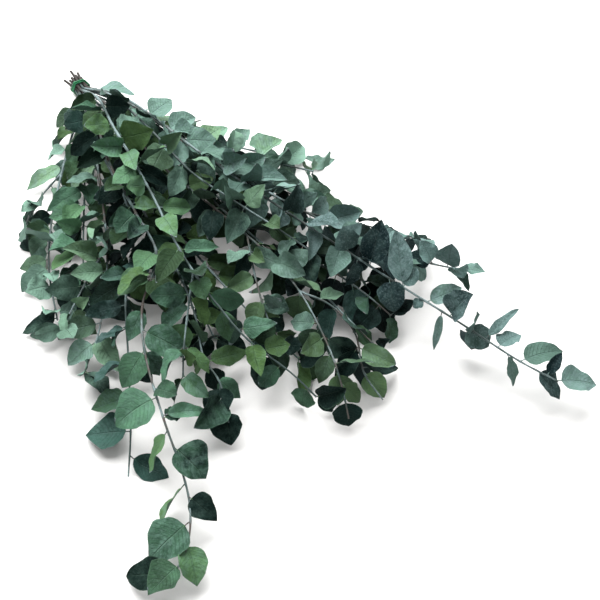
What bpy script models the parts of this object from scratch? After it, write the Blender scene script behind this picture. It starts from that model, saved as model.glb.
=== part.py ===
"""A tied bunch of preserved eucalyptus branches, lying fanned out on a flat surface.

Sixteen leafy branches are gathered by a green rubber band near their cut ends. Each branch is one
solid: its stem, its side twigs and its leaves grow from one another. Metres, +Z up. The branches are
laid out from the band along +X, and an empty then sets the middle of the bunch over the origin.
"""

import math
import random
from collections import namedtuple

import bmesh
import bpy
from mathutils import Matrix, Vector
from mathutils.bvhtree import BVHTree

MM = 0.001
SEED = 20
UP = Vector((0, 0, 1))

# From the middle of the bunch to the band
MIDDLE_TO_BAND = Vector((-347, 7, 0)) * MM

# Stems
STEM_RADIUS = 1.7 * MM
TIP_RADIUS = 0.8 * MM
TWIG_RADIUS = 1.1 * MM
STEM_STEP = 45 * MM
STEM_BEVEL = 0
FLOOR_GAP = 0.4 * MM

# The pack of stems inside the band: the stems in each row from the bottom up, and how they splay behind it
PACK_ROWS = (4, 5, 4, 3)
PACK_PITCH = 4.1 * MM
PACK_HALF_LENGTH = 11 * MM
PACK_SPREAD = 22

# The band
BAND_RADIUS = 0.8 * MM
BAND_GAP = 0.32 * MM
BAND_TURNS = 3
BAND_PITCH = 1.9 * MM
BAND_POINTS = 16
BAND_CROSSING = (0.22, 0.78)

# Leaf blades: where along them they have edge points, and where the rib has its own
BLADE_THICKNESS = 0.6 * MM
STALK = 0.1
BASE_ROUNDNESS = 0.55
BLADE_ROWS = (0.0, 0.22, 0.56, 1.0)
OUTER_ROWS = (0.3, 0.56, 1.0)
RIB_ROW = 0.56
ROOT_DEPTH = 0.5 * MM
STEM_FLAT = 0.87
STEM_END = 0.97

# Grown leaves: how they vary, with angles in degrees, bends and folds in radians
LEAF_LENGTH = 44 * MM
LENGTH_FACTORS = (0.78, 1.16)
WIDTH_FACTORS = (0.52, 0.84)
ANGLES = (36, 78)
BENDS = (-0.25, 1.15)
FOLDS = (0.05, 0.75)
WAVES = (0.4 * MM, 2.8 * MM)
POINTS = (0.55, 0.9)
DROOPS = (-0.3, 0.12)
BEND_DROP = 0.35
STAND = 1.15
FACING_AHEAD = (0.2, 1.0)
FACING_UP = 0.35
TURN_SLACK = (0.15, 0.09)
TRIES_PER_SIZE = 8
SMALLER = (1.0, 0.88, 0.74)
LEAF_TOP = 108 * MM
LEAF_TRIES = 20
LEAF_CLEARANCE = 1.2 * MM

# Traced leaves
TRACED_FOLDS = (0.15, 0.4)
TRACED_WAVES = (0.4 * MM, 1.6 * MM)
TRACED_POINTS = (0.65, 0.85)
TRACED_CLEARANCE = 0.5 * MM
TRACED_SLACK = 0.6
TRACED_ROLL_SLACK = 4

# Where leaves stand on a shoot, in pairs that turn round it
FIRST_FACTORS = (0.9, 1.1)
SPACING_FACTORS = (0.85, 1.15)
PAIR_TURN = (math.pi / 2 - 0.3, math.pi / 2 + 0.3)
PAIR_STEP = 0.5 * MM
BARE_TIP = 8 * MM
STEM_TIP_LEAVES = 3
TWIG_TIP_LEAVES = 2

# Colours of foliage and band
PALE = (0.42, 0.50, 0.38)
FRESH = (0.33, 0.43, 0.26)
DEEP = (0.16, 0.24, 0.17)
DUSTY = (0.30, 0.38, 0.37)
LEAF_ROUGHNESS = 0.62
BAND_COLOUR = (0.06, 0.40, 0.16)
BAND_ROUGHNESS = 0.45

Style = namedtuple("Style", "first spacing size lie keep")
Branch = namedtuple("Branch", "name row place cut_end style foliage route")
Twig = namedtuple("Twig", "branch along style route")
Traced = namedtuple("Traced", "branch base tip width roll bend room", defaults=(22,))
Shoot = namedtuple("Shoot", "branch style points radii start")
Leaf = namedtuple("Leaf", "base along up length width bend fold wave phase point")
Placed = namedtuple("Placed", "branch whole outer low high")

UNDER = Style(first=140, spacing=46, size=0.95, lie=0.8, keep=0.4)
LOW = Style(first=62, spacing=33, size=0.93, lie=0.72, keep=0.7)
MIDDLE = Style(first=130, spacing=34, size=0.93, lie=0.5, keep=0.66)
HIGH = Style(first=150, spacing=33, size=0.93, lie=0.45, keep=0.7)
SPRIG = Style(first=24, spacing=32, size=0.86, lie=0.5, keep=0.68)

# Each branch: its place in the pack, how far its cut end stands out, and its route in mm from the band
BRANCHES = (
    Branch("left_edge_branch", 0, 0, 18, LOW, PALE, (
        (84, -44, 20), (145, -86, 19), (223, -134, 18), (285, -163, 16), (350, -182, 12))),
    Branch("low_core_branch", 0, 1, 25, UNDER, FRESH, (
        (110, -8, 18), (200, -18, 22), (300, -20, 24), (400, -14, 22), (480, -4, 18), (530, 6, 14))),
    Branch("low_right_core_branch", 0, 2, 16, UNDER, DEEP, (
        (110, 12, 18), (200, 26, 22), (300, 50, 22), (380, 74, 20), (432, 98, 18), (480, 122, 14))),
    Branch("top_edge_branch", 0, 3, 22, LOW, PALE, (
        (90, 28, 22), (145, 52, 24), (185, 76, 24), (222, 106, 23), (255, 138, 20), (280, 172, 16))),
    Branch("left_inner_branch", 1, 0, 27, LOW, FRESH, (
        (110, -42, 32), (200, -80, 32), (262, -110, 28), (322, -138, 22))),
    Branch("left_branch", 1, 1, 15, LOW, PALE, (
        (110, -31, 38), (204, -62, 40), (300, -98, 34), (343, -120, 28), (392, -152, 20), (428, -186, 13))),
    Branch("middle_branch", 1, 2, 23, MIDDLE, FRESH, (
        (110, -14, 40), (200, -32, 45), (295, -46, 46), (400, -56, 44), (449, -67, 42), (492, -82, 37),
        (524, -82, 32), (562, -94, 20))),
    Branch("lower_right_branch", 1, 3, 29, MIDDLE, DEEP, (
        (110, 8, 36), (230, 22, 41), (343, 36, 40), (481, 62, 38), (560, 72, 32), (584, 79, 27))),
    Branch("upper_branch", 1, 4, 20, LOW, PALE, (
        (110, 27, 38), (196, 50, 43), (258, 74, 45), (308, 94, 43), (352, 116, 39), (396, 146, 33))),
    Branch("bare_tip_branch", 2, 0, 17, MIDDLE, DEEP, (
        (110, -30, 54), (189, -48, 58), (270, -58, 58), (322, -74, 51), (354, -96, 46), (388, -117, 39),
        (451, -146, 27), (518, -178, 14), (556, -200, 6))),
    Branch("long_left_branch", 2, 1, 21, HIGH, FRESH, (
        (110, -24, 58), (222, -52, 69), (313, -62, 71), (368, -68, 67), (391, -86, 62), (410, -105, 58),
        (435, -120, 54), (475, -135, 50), (543, -151, 44), (593, -160, 36), (622, -168, 31), (650, -183, 27),
        (668, -202, 23), (674, -224, 19))),
    Branch("right_bend_branch", 2, 2, 24, MIDDLE, PALE, (
        (110, -4, 55), (250, 0, 62), (341, 18, 62), (430, 34, 58), (482, 37, 52), (554, 27, 41), (590, 17, 33),
        (620, 6, 21))),
    Branch("upper_right_branch", 2, 3, 26, MIDDLE, DUSTY, (
        (120, 22, 52), (257, 52, 58), (345, 84, 56), (400, 108, 53), (451, 130, 50), (481, 152, 48),
        (517, 180, 45), (530, 194, 43), (539, 205, 42))),
    Branch("crest_branch", 3, 0, 16, HIGH, FRESH, (
        (110, -14, 69), (180, -26, 82), (250, -34, 88), (319, -42, 88), (378, -50, 84), (443, -51, 74),
        (466, -48, 67), (504, -41, 55), (557, -18, 37), (584, -8, 24))),
    Branch("inner_right_branch", 3, 1, 28, HIGH, PALE, (
        (110, 4, 66), (200, 10, 77), (292, 16, 79), (352, 36, 74), (400, 56, 67), (442, 74, 58))),
    Branch("far_right_branch", 3, 2, 14, HIGH, DUSTY, (
        (120, 18, 62), (257, 42, 71), (360, 68, 71), (442, 94, 66), (531, 128, 55), (582, 149, 48),
        (612, 160, 45), (664, 178, 41), (700, 197, 36))),
)

# Each side twig: its branch, where along +X it leaves it, and its route in mm from the band
TWIGS = (
    Twig("left_edge_branch", 150, SPRIG, ((176, -128, 18), (206, -160, 14))),
    Twig("top_edge_branch", 160, SPRIG, ((200, 60, 26), (236, 72, 26), (272, 92, 22))),
    Twig("left_branch", 300, SPRIG, ((336, -146, 24), (366, -182, 16))),
    Twig("upper_branch", 240, SPRIG, ((272, 106, 42), (302, 136, 38), (318, 158, 32))),
    Twig("lower_right_branch", 400, SPRIG, ((452, 84, 36), (500, 102, 32), (540, 112, 26))),
    Twig("right_bend_branch", 480, SPRIG, ((510, 56, 48), (548, 60, 42), (590, 44, 32), (620, 46, 22))),
    Twig("right_bend_branch", 390, SPRIG, ((446, 6, 54), (488, -6, 46), (520, -10, 38))),
    Twig("upper_right_branch", 390, SPRIG, ((420, 140, 46), (448, 170, 40), (466, 192, 34))),
    Twig("low_core_branch", 290, SPRIG, ((350, -42, 20), (410, -48, 17), (460, -54, 14))),
    Twig("crest_branch", 420, SPRIG, ((452, -76, 64), (486, -100, 52), (506, -112, 42))),
)

# Leaves that show one by one in the photograph: root near the stem, tip, width, roll in degrees, bend,
# and how far from the root no other leaf grows, in mm
TRACED = (
    Traced("far_right_branch", (38, 8, 26), (68, 42, 16), 34, 10, 0.5),
    Traced("top_edge_branch", (279, 168, 17), (284, 210, -14), 22, 0, 0.1),
    Traced("left_edge_branch", (40, -22, 13), (56, -58, 5), 26, -8, 0.3),
    Traced("long_left_branch", (506, -145, 48), (528, -129, 51), 24, 0, 0.4),
    Traced("long_left_branch", (516, -149, 47), (515, -191, 30), 42, -10, 0.9),
    Traced("long_left_branch", (537, -149, 44), (545, -106, 24), 16, 15, 1.3),
    Traced("long_left_branch", (552, -156, 42), (569, -181, 14), 22, 45, 0.5),
    Traced("long_left_branch", (570, -155, 40), (604, -143, 20), 42, -6, 0.4),
    Traced("long_left_branch", (606, -164, 33), (626, -204, 9), 26, 62, 0.5),
    Traced("long_left_branch", (618, -166, 31), (648, -154, 20), 25, 8, 0.6),
    Traced("long_left_branch", (639, -178, 28), (646, -223, 14), 42, 0, 0.4),
    Traced("long_left_branch", (656, -187, 26), (687, -198, 8), 28, 0, 0.5),
    Traced("long_left_branch", (668, -202, 23), (670, -238, 9), 37, -12, 0.3),
    Traced("long_left_branch", (672, -212, 21), (648, -246, 4), 30, 10, 0.2),
    Traced("bare_tip_branch", (485, -163, 22), (473, -199, 12), 30, 0, 0.3),
    Traced("bare_tip_branch", (517, -178, 14), (492, -215, 4), 40, 0, 0.2),
    Traced("bare_tip_branch", (538, -189, 9), (574, -167, -22), 28, 0, 0.0),
    Traced("far_right_branch", (558, 139, 50), (552, 127, 42), 14, 0, 0.4),
    Traced("far_right_branch", (560, 140, 49), (565, 181, 52), 22, 20, 0.3),
    Traced("far_right_branch", (577, 147, 48), (596, 126, 18), 9, 0, 0.3),
    Traced("far_right_branch", (586, 150, 47), (594, 168, 80), 36, 10, 0.5),
    Traced("far_right_branch", (612, 160, 45), (615, 162, 73), 25, 0, 0.3),
    Traced("far_right_branch", (614, 161, 45), (611, 164, 9), 32, 0, 0.4),
    Traced("far_right_branch", (626, 165, 44), (615, 217, 48), 12, 0, 0.5),
    Traced("far_right_branch", (640, 169, 43), (638, 200, 42), 25, -18, 0.5),
    Traced("far_right_branch", (650, 173, 42), (670, 173, 8), 14, -10, 0.3),
    Traced("far_right_branch", (664, 178, 41), (674, 226, 34), 29, 0, 0.8),
    Traced("far_right_branch", (680, 186, 39), (708, 198, 14), 23, 0, 0.4),
    Traced("far_right_branch", (690, 191, 38), (682, 214, 50), 13, 10, 0.4),
    Traced("far_right_branch", (699, 196, 36), (719, 233, 26), 31, 0, 0.5),
    Traced("upper_right_branch", (517, 180, 45), (498, 176, 66), 26, 0, 0.3),
    Traced("upper_right_branch", (528, 192, 44), (525, 196, 75), 28, 0, 0.3),
    Traced("upper_right_branch", (532, 197, 43), (556, 191, 52), 23, 0, 0.2),
    Traced("upper_right_branch", (537, 203, 42), (558, 219, 46), 18, 0, 0.3),
    Traced("upper_right_branch", (535, 200, 42), (558, 200, 28), 13, 0, 0.3),
    Traced("far_right_branch", (534, 129, 55), (527, 151, 66), 20, 10, 0.3, 7),
    Traced("long_left_branch", (540, -150, 44), (539, -129, 38), 18, 0, 0.4),
    Traced("far_right_branch", (495, 114, 59), (474, 141, 96), 33, 13, 0.2, 7),
    Traced("far_right_branch", (469, 104, 63), (459, 104, 93), 28, -13, 0.4, 7),
    Traced("far_right_branch", (534, 129, 55), (488, 150, 86), 27, -4, 0.3, 7),
    Traced("upper_right_branch", (517, 180, 45), (496, 162, 50), 25, -15, 0.2, 7),
    Traced("far_right_branch", (518, 123, 57), (544, 116, 34), 30, 9, 0.9, 7),
    Traced("lower_right_branch", (524, 108, 28), (530, 71, 14), 28, -20, 0.5, 7),
    Traced("lower_right_branch", (524, 108, 28), (559, 103, 6), 26, 11, 0.5, 7),
    Traced("right_bend_branch", (573, 50, 36), (574, 99, 14), 27, 36, 0.3, 7),
    Traced("right_bend_branch", (584, 46, 34), (588, 91, 6), 20, 15, 0.2, 7),
    Traced("right_bend_branch", (588, 45, 32), (611, 55, 8), 26, 26, 0.4, 7),
    Traced("right_bend_branch", (576, 21, 36), (601, 4, 12), 28, -1, 0.5, 7),
    Traced("right_bend_branch", (525, 31, 45), (531, 20, 9), 34, -9, 0.3, 7),
    Traced("right_bend_branch", (482, 37, 52), (488, 29, 18), 32, -4, 0.3, 7),
    Traced("right_bend_branch", (604, 12, 28), (618, 8, 2), 30, 10, 0.3, 7),
    Traced("left_edge_branch", (279, -160, 16), (288, -199, 7), 28, -11, 0.3, 7),
    Traced("left_edge_branch", (347, -181, 12), (341, -219, 3), 20, -11, 0.3, 7),
    Traced("left_branch", (385, -147, 21), (361, -182, 14), 26, -20, 0.4, 7),
    Traced("left_branch", (403, -162, 18), (407, -193, 10), 29, -15, 0.4, 7),
    Traced("long_left_branch", (463, -130, 51), (475, -165, 26), 30, -24, 0.6, 7),
    Traced("long_left_branch", (441, -122, 53), (481, -91, 36), 32, 34, 0.6, 7),
    Traced("long_left_branch", (419, -110, 57), (435, -137, 38), 21, -16, 0.4, 7),
    Traced("bare_tip_branch", (366, -103, 44), (360, -149, 26), 24, -29, 0.3, 7),
    Traced("bare_tip_branch", (391, -118, 38), (374, -159, 30), 20, -36, 0.4, 7),
    Traced("left_edge_branch", (139, -82, 19), (143, -134, 8), 22, -10, 0.4, 7),
    Traced("left_inner_branch", (203, -82, 32), (204, -131, 22), 26, -17, 0.3, 7),
    Traced("left_edge_branch", (207, -124, 18), (198, -163, 6), 23, -19, 0.4, 7),
    Traced("left_edge_branch", (260, -151, 17), (252, -173, 6), 20, -16, 0.2, 7),
    Traced("upper_branch", (205, 54, 43), (155, 72, 44), 30, -3, 0.2, 7),
    Traced("upper_branch", (215, 57, 44), (213, 95, 50), 32, 10, 0.2, 7),
    Traced("upper_branch", (258, 74, 45), (295, 64, 42), 34, 5, 0.3, 7),
    Traced("upper_branch", (273, 80, 44), (303, 98, 60), 34, 12, 0.2, 7),
    Traced("upper_branch", (308, 94, 43), (341, 74, 40), 34, 0, 0.3, 7),
    Traced("upper_branch", (317, 98, 42), (345, 123, 51), 34, 12, 0.2, 7),
    Traced("top_edge_branch", (194, 84, 24), (188, 116, 24), 27, 6, 0.1, 7),
    Traced("top_edge_branch", (218, 103, 23), (207, 136, 24), 25, 5, 0.1, 7),
    Traced("top_edge_branch", (247, 130, 21), (219, 141, 26), 28, -2, 0.1, 7),
    Traced("upper_branch", (376, 132, 36), (389, 165, 22), 34, 12, 0.4, 7),
    Traced("upper_right_branch", (154, 30, 54), (146, 64, 60), 32, 9, 0.3, 7),
    Traced("upper_right_branch", (188, 37, 55), (193, 72, 62), 32, 11, 0.3, 7),
    Traced("left_branch", (397, -157, 19), (443, -155, 8), 26, 14, 0.5, 7),
    Traced("middle_branch", (526, -83, 31), (558, -90, 14), 32, 11, 0.6, 7),
    Traced("middle_branch", (551, -90, 24), (569, -98, 2), 34, 5, 0.4, 7),
    Traced("middle_branch", (494, -82, 37), (482, -90, 12), 26, -39, 0.4, 7),
    Traced("crest_branch", (523, -33, 49), (526, -3, 40), 24, 17, 0.4, 7),
    Traced("crest_branch", (544, -24, 42), (540, -48, 18), 20, -31, 0.5, 7),
    Traced("crest_branch", (565, -15, 33), (591, 11, 10), 24, 24, 0.4, 7),
    Traced("crest_branch", (572, -12, 30), (572, -17, 2), 26, -31, 0.3, 7),
    Traced("lower_right_branch", (488, 98, 33), (533, 81, 8), 28, 6, 0.5, 7),
    Traced("lower_right_branch", (469, 90, 35), (497, 55, 14), 28, -10, 0.5, 7),
    Traced("lower_right_branch", (481, 62, 38), (508, 65, 20), 28, 18, 0.5, 7),
)

# Where the bunch is seen from, and the outline on the floor that it fills from there, in mm
EYE = Vector((1053, -320, 843)) * MM
FAN = (
    (-22, 13), (11, 39), (78, 61), (131, 113), (186, 168), (270, 219), (289, 208), (285, 168), (362, 187),
    (429, 208), (477, 249), (521, 256), (589, 250), (650, 253), (704, 259), (695, 194), (662, 169),
    (603, 171), (540, 136), (560, 109), (588, 94), (610, 58), (599, 37), (622, 10), (610, -4), (584, -1),
    (565, -18), (530, -38), (536, -61), (561, -76), (569, -98), (522, -101), (638, -148), (692, -207),
    (656, -253), (584, -179), (556, -201), (489, -216), (452, -191), (371, -193), (344, -220),
    (305, -183), (277, -201), (164, -155), (99, -89), (19, -44),
)


def clear_scene():
    """Removes the startup objects."""
    for obj in list(bpy.data.objects):
        bpy.data.objects.remove(obj)


def spline_point(points, knots, t):
    """The point at t on the spline through four points with the given knots."""
    layer = list(points)
    for reach in (1, 2, 3):
        spans = range(len(layer) - 1)
        starts = [knots[1] if reach == 3 else knots[i] for i in spans]
        ends = [knots[2] if reach == 3 else knots[i + reach] for i in spans]
        layer = [layer[i].lerp(layer[i + 1], (t - starts[i]) / (ends[i] - starts[i])) for i in spans]
    return layer[0]


def smooth_route(points):
    """Points about a stem step apart on a centripetal spline through the given points."""
    ends = [2 * points[0] - points[1], *points, 2 * points[-1] - points[-2]]
    smooth = []
    for four in zip(ends, ends[1:], ends[2:], ends[3:]):
        knots = [0.0]
        for a, b in zip(four, four[1:]):
            knots.append(knots[-1] + (b - a).length ** 0.5)
        pieces = max(1, round((four[2] - four[1]).length / STEM_STEP))
        steps = [knots[1] + (knots[2] - knots[1]) * i / pieces for i in range(pieces)]
        smooth += [spline_point(four, knots, step) for step in steps]
    return [*smooth, points[-1].copy()]


def pack_place(row, place):
    """Where a stem stands in the pack inside the band: across the bunch, and up."""
    across = (place - (PACK_ROWS[row] - 1) / 2) * PACK_PITCH
    lowest = 2 * BAND_RADIUS + BAND_GAP + STEM_RADIUS
    return across, lowest + row * PACK_PITCH * math.sin(math.radians(60))


def branch_points(branch):
    """The centreline of a branch from its cut end, through the band, to its tip."""
    y, z = pack_place(branch.row, branch.place)
    middle = pack_place(0, 0)[1] + 1.5 * PACK_PITCH
    splay = 1 + (branch.cut_end * MM - PACK_HALF_LENGTH) * PACK_SPREAD
    cut_height = max(middle + (z - middle) * splay, STEM_RADIUS + FLOOR_GAP)
    cut_end = Vector((-branch.cut_end * MM, y * splay, cut_height))
    band_start = Vector((-PACK_HALF_LENGTH, y, z))
    band_end = Vector((PACK_HALF_LENGTH, y, z))
    return [cut_end, band_start, *smooth_route([band_end, *(Vector(point) * MM for point in branch.route)])]


def twig_points(twig, parent):
    """The centreline of a twig from inside its branch to its tip."""
    for a, b in zip(parent, parent[1:]):
        if a.x <= twig.along * MM < b.x:
            root = a.lerp(b, (twig.along * MM - a.x) / (b.x - a.x))
    return smooth_route([root, *(Vector(point) * MM for point in twig.route)])


def distances(points):
    """How far each point lies along the points from the first."""
    along = [0.0]
    for a, b in zip(points, points[1:]):
        along.append(along[-1] + (b - a).length)
    return along


def taper(points, root, tip, straight):
    """A radius at each point: the root's as far as the straight length, then thinning to the tip's."""
    along = distances(points)
    rest = along[-1] - straight
    return [root + (tip - root) * max(0.0, distance - straight) / rest for distance in along]


def all_shoots():
    """Every stem and twig, the highest branches first."""
    shoots = []
    for branch in reversed(BRANCHES):
        points = branch_points(branch)
        radii = taper(points, STEM_RADIUS, TIP_RADIUS, PACK_HALF_LENGTH * 4)
        shoots.append(Shoot(branch.name, branch.style, points, radii, branch.cut_end * MM))
        for twig in TWIGS:
            if twig.branch == branch.name:
                route = twig_points(twig, points)
                radii = taper(route, TWIG_RADIUS, TIP_RADIUS, 0)
                shoots.append(Shoot(branch.name, twig.style, route, radii, 0))
    return shoots


def place_and_heading(points, along, distance):
    """The point at a distance along the points, and the way the stem runs there."""
    last = len(points) - 2
    i = next((i for i in range(last) if distance <= along[i + 1]), last)
    part = (distance - along[i]) / (along[i + 1] - along[i])
    return points[i].lerp(points[i + 1], part), (points[i + 1] - points[i]).normalized()


def nearest_on(points, spot):
    """The point of a centreline nearest to a spot."""
    best = points[0]
    for a, b in zip(points, points[1:]):
        part = (spot - a).dot(b - a) / (b - a).length_squared
        near = a.lerp(b, min(max(part, 0.0), STEM_END))
        if (near - spot).length < (best - spot).length:
            best = near
    return best


def outline(u, point):
    """Half the width of a leaf, from 0 along its stalk to 1 where it is widest and 0 at its tip."""
    if u <= STALK or u >= 1:
        return 0.0
    w = (u - STALK) / (1 - STALK)
    widest = BASE_ROUNDNESS / (BASE_ROUNDNESS + point)
    return (w / widest) ** BASE_ROUNDNESS * ((1 - w) / (1 - widest)) ** point


def leaf_point(leaf, u, v, lift):
    """A point raised over the middle surface: u from the root to the tip, v from edge to edge."""
    turn = leaf.bend * u
    ahead = leaf.length * u * (1 - turn * turn / 6)
    down = leaf.length * u * turn / 2 * (1 - turn * turn / 12)
    normal = leaf.up * math.cos(turn) + leaf.along * math.sin(turn)
    half = 0.5 * leaf.width * outline(u, leaf.point)
    ripple = leaf.wave * math.sin(math.tau * u + leaf.phase + v) * outline(u, leaf.point)
    rise = half * abs(v) * math.sin(leaf.fold) + abs(v) * ripple
    side = leaf.along.cross(leaf.up) * (half * v * math.cos(leaf.fold))
    spot = leaf.base + leaf.along * ahead - leaf.up * down + side + normal * rise
    spot.z = max(spot.z, BLADE_THICKNESS / 2)
    return spot + normal * lift


def blade(leaf, rows, thickness):
    """A closed blade with an edge point each side at each row, and a point on the rib at the widest."""
    bm = bmesh.new()
    bmesh.ops.create_grid(bm, x_segments=1, y_segments=len(rows) - 1, size=1)
    for vert in bm.verts:
        vert.co.y = rows[round((vert.co.y + 1) / 2 * (len(rows) - 1))]
    widest = [edge for edge in bm.edges if all(abs(vert.co.y - RIB_ROW) < 1e-3 for vert in edge.verts)]
    bmesh.ops.subdivide_edges(bm, edges=widest, cuts=1)
    for vert in bm.verts:
        vert.co = leaf_point(leaf, vert.co.y, vert.co.x, thickness / 2)
    bmesh.ops.remove_doubles(bm, verts=bm.verts, dist=1e-6)
    bmesh.ops.triangulate(bm, faces=bm.faces)
    bmesh.ops.solidify(bm, geom=bm.faces[:], thickness=thickness)
    for vert in bm.verts:
        if vert.co.z < BLADE_THICKNESS / 3 and thickness == BLADE_THICKNESS:
            vert.co.z = 0.0
    bmesh.ops.recalc_face_normals(bm, faces=bm.faces)
    return bm


def blade_tree(leaf, rows, thickness):
    """The blade's surface for finding where it meets others, with its points."""
    bm = blade(leaf, rows, thickness)
    tree = BVHTree.FromBMesh(bm)
    points = [vert.co.copy() for vert in bm.verts]
    bm.free()
    return tree, points


def placed_solid(branch, whole, outer, points):
    """A solid that later leaves keep clear of, with its box."""
    low = [min(point[i] for point in points) for i in range(3)]
    high = [max(point[i] for point in points) for i in range(3)]
    return Placed(branch, whole, outer, low, high)


def leaf_solid(branch, leaf, clearance):
    """A leaf thickened by the clearance that it must keep."""
    thickness = BLADE_THICKNESS + 2 * clearance
    whole, points = blade_tree(leaf, BLADE_ROWS, thickness)
    outer = blade_tree(leaf, OUTER_ROWS, thickness)[0]
    return placed_solid(branch, whole, outer, points)


def is_clear(trial, placed):
    """Whether a thickened leaf meets nothing, apart from the stem at its own root."""
    for other in placed:
        if any(trial.low[i] > other.high[i] or trial.high[i] < other.low[i] for i in range(3)):
            continue
        if other.branch == trial.branch:
            if trial.outer.overlap(other.outer):
                return False
        elif trial.whole.overlap(other.whole):
            return False
    return True


def in_fan(point):
    """Whether a point is seen inside the fan's outline."""
    sight = point - EYE
    spot = (EYE + sight * (EYE.z / -sight.z)) / MM
    crossings = 0
    for (ax, ay), (bx, by) in zip(FAN, FAN[1:] + FAN[:1]):
        if (ay > spot.y) != (by > spot.y) and spot.x < ax + (bx - ax) * (spot.y - ay) / (by - ay):
            crossings += 1
    return crossings % 2 == 1


def leaf_in_fan(leaf):
    """Whether a leaf's tip and the widest places of its edges are seen inside the fan's outline."""
    return all(in_fan(leaf_point(leaf, u, v, 0)) for u, v in ((1, 0), (RIB_ROW, 1), (RIB_ROW, -1)))


def traced_leaf(traced, base, rng, slack):
    """A leaf of the traced list, from the stem point at its root, moved by up to the slack in mm."""
    tip = Vector(traced.tip) + Vector((rng.uniform(-1, 1), rng.uniform(-1, 1), rng.uniform(-0.5, 1))) * slack
    chord = tip * MM - base
    heading = chord.normalized()
    up = (UP - heading * heading.z).normalized()
    up.rotate(Matrix.Rotation(math.radians(traced.roll + rng.uniform(-1, 1) * TRACED_ROLL_SLACK * slack), 3, chord))
    half_turn = traced.bend / 2
    along = heading * math.cos(half_turn) + up * math.sin(half_turn)
    up = up * math.cos(half_turn) - heading * math.sin(half_turn)
    return Leaf(base, along, up, chord.length * (1 + half_turn**2 / 6), traced.width * MM, traced.bend,
                rng.uniform(*TRACED_FOLDS), rng.uniform(*TRACED_WAVES), rng.uniform(0, math.tau),
                rng.uniform(*TRACED_POINTS))


def grown_leaf(rng, base, heading, turn, style, size):
    """A leaf that grows out of a stem at a turn round it, with the droop and twist of its own."""
    side = heading.cross(UP).normalized()
    above = side.cross(heading)
    out = (side * math.cos(turn) + above * math.sin(turn) * (STAND - style.lie)).normalized()
    angle = math.radians(rng.uniform(*ANGLES))
    along = heading * math.cos(angle) + out * math.sin(angle)
    length = LEAF_LENGTH * style.size * size * rng.uniform(*LENGTH_FACTORS)
    bend = rng.uniform(*BENDS)
    lowest = (2 * BLADE_THICKNESS - base.z) / length + BEND_DROP * bend
    highest = max((LEAF_TOP - base.z) / length, lowest)
    along.z = min(max(along.z + rng.uniform(*DROOPS), lowest), highest)
    along.normalize()
    facing = heading * (1 - style.lie) * rng.uniform(*FACING_AHEAD) + UP * (FACING_UP + style.lie)
    facing += Vector((rng.uniform(-1, 1), rng.uniform(-1, 1), 0))
    up = (facing - along * facing.dot(along)).normalized()
    return Leaf(base, along, up, length, length * rng.uniform(*WIDTH_FACTORS), bend, rng.uniform(*FOLDS),
                rng.uniform(*WAVES), rng.uniform(0, math.tau), rng.uniform(*POINTS))


def first_clear(branch, tries, clearance, placed):
    """The first of the tries that stays clear of what is placed, which it then joins, or none."""
    for leaf in tries:
        if is_clear(leaf_solid(branch, leaf, clearance), placed):
            placed.append(leaf_solid(branch, leaf, 0.0))
            return [leaf]
    return []


def traced_tries(traced, base, rng):
    """Tries at a traced leaf, ever further from where it was traced."""
    for attempt in range(LEAF_TRIES):
        yield traced_leaf(traced, base, rng, TRACED_SLACK * attempt)


def grown_tries(shoot, distance, turn, rng):
    """Tries at a leaf of a shoot that the fan holds, ever looser in their turn, the last of them smaller."""
    along = distances(shoot.points)
    place, heading = place_and_heading(shoot.points, along, distance)
    radius = shoot.radii[-1] + (shoot.radii[0] - shoot.radii[-1]) * (1 - distance / along[-1])
    for attempt in range(LEAF_TRIES):
        loose = TURN_SLACK[0] + TURN_SLACK[1] * attempt
        size = SMALLER[attempt // TRIES_PER_SIZE]
        leaf = grown_leaf(rng, place, heading, turn + rng.uniform(-loose, loose), shoot.style, size)
        slant = max(leaf.along.cross(heading).length, 0.5)
        leaf = leaf._replace(base=place + leaf.along * max(0.0, STEM_FLAT * radius - ROOT_DEPTH) / slant)
        if leaf_in_fan(leaf):
            yield leaf


def leaf_nodes(shoot, rng):
    """Where the leaves stand on a shoot: distance along it and turn round it."""
    end = distances(shoot.points)[-1]
    distance = shoot.start + shoot.style.first * MM * rng.uniform(*FIRST_FACTORS)
    turn = rng.uniform(0, math.pi)
    nodes = []
    while distance < end - BARE_TIP:
        for half in (0, 1):
            if rng.random() < shoot.style.keep:
                nodes.append((distance + half * PAIR_STEP, turn + half * math.pi))
        distance += shoot.style.spacing * MM * rng.uniform(*SPACING_FACTORS)
        turn += rng.uniform(*PAIR_TURN)
    at_tip = STEM_TIP_LEAVES if shoot.start > 0 else TWIG_TIP_LEAVES
    for leaf in range(at_tip):
        nodes.append((end - (1 + leaf) * MM, turn + leaf * math.tau / at_tip))
    return nodes


def placed_shoots(shoots):
    """The stems and twigs as solids that the leaves keep clear of."""
    placed = []
    for shoot in shoots:
        stem = tube("stem", shoot.points, shoot.radii, STEM_BEVEL)
        tree = BVHTree.FromObject(stem, bpy.context.evaluated_depsgraph_get())
        placed.append(placed_solid(shoot.branch, tree, tree, [vert.co for vert in stem.data.vertices]))
        bpy.data.objects.remove(stem)
    return placed


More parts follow.
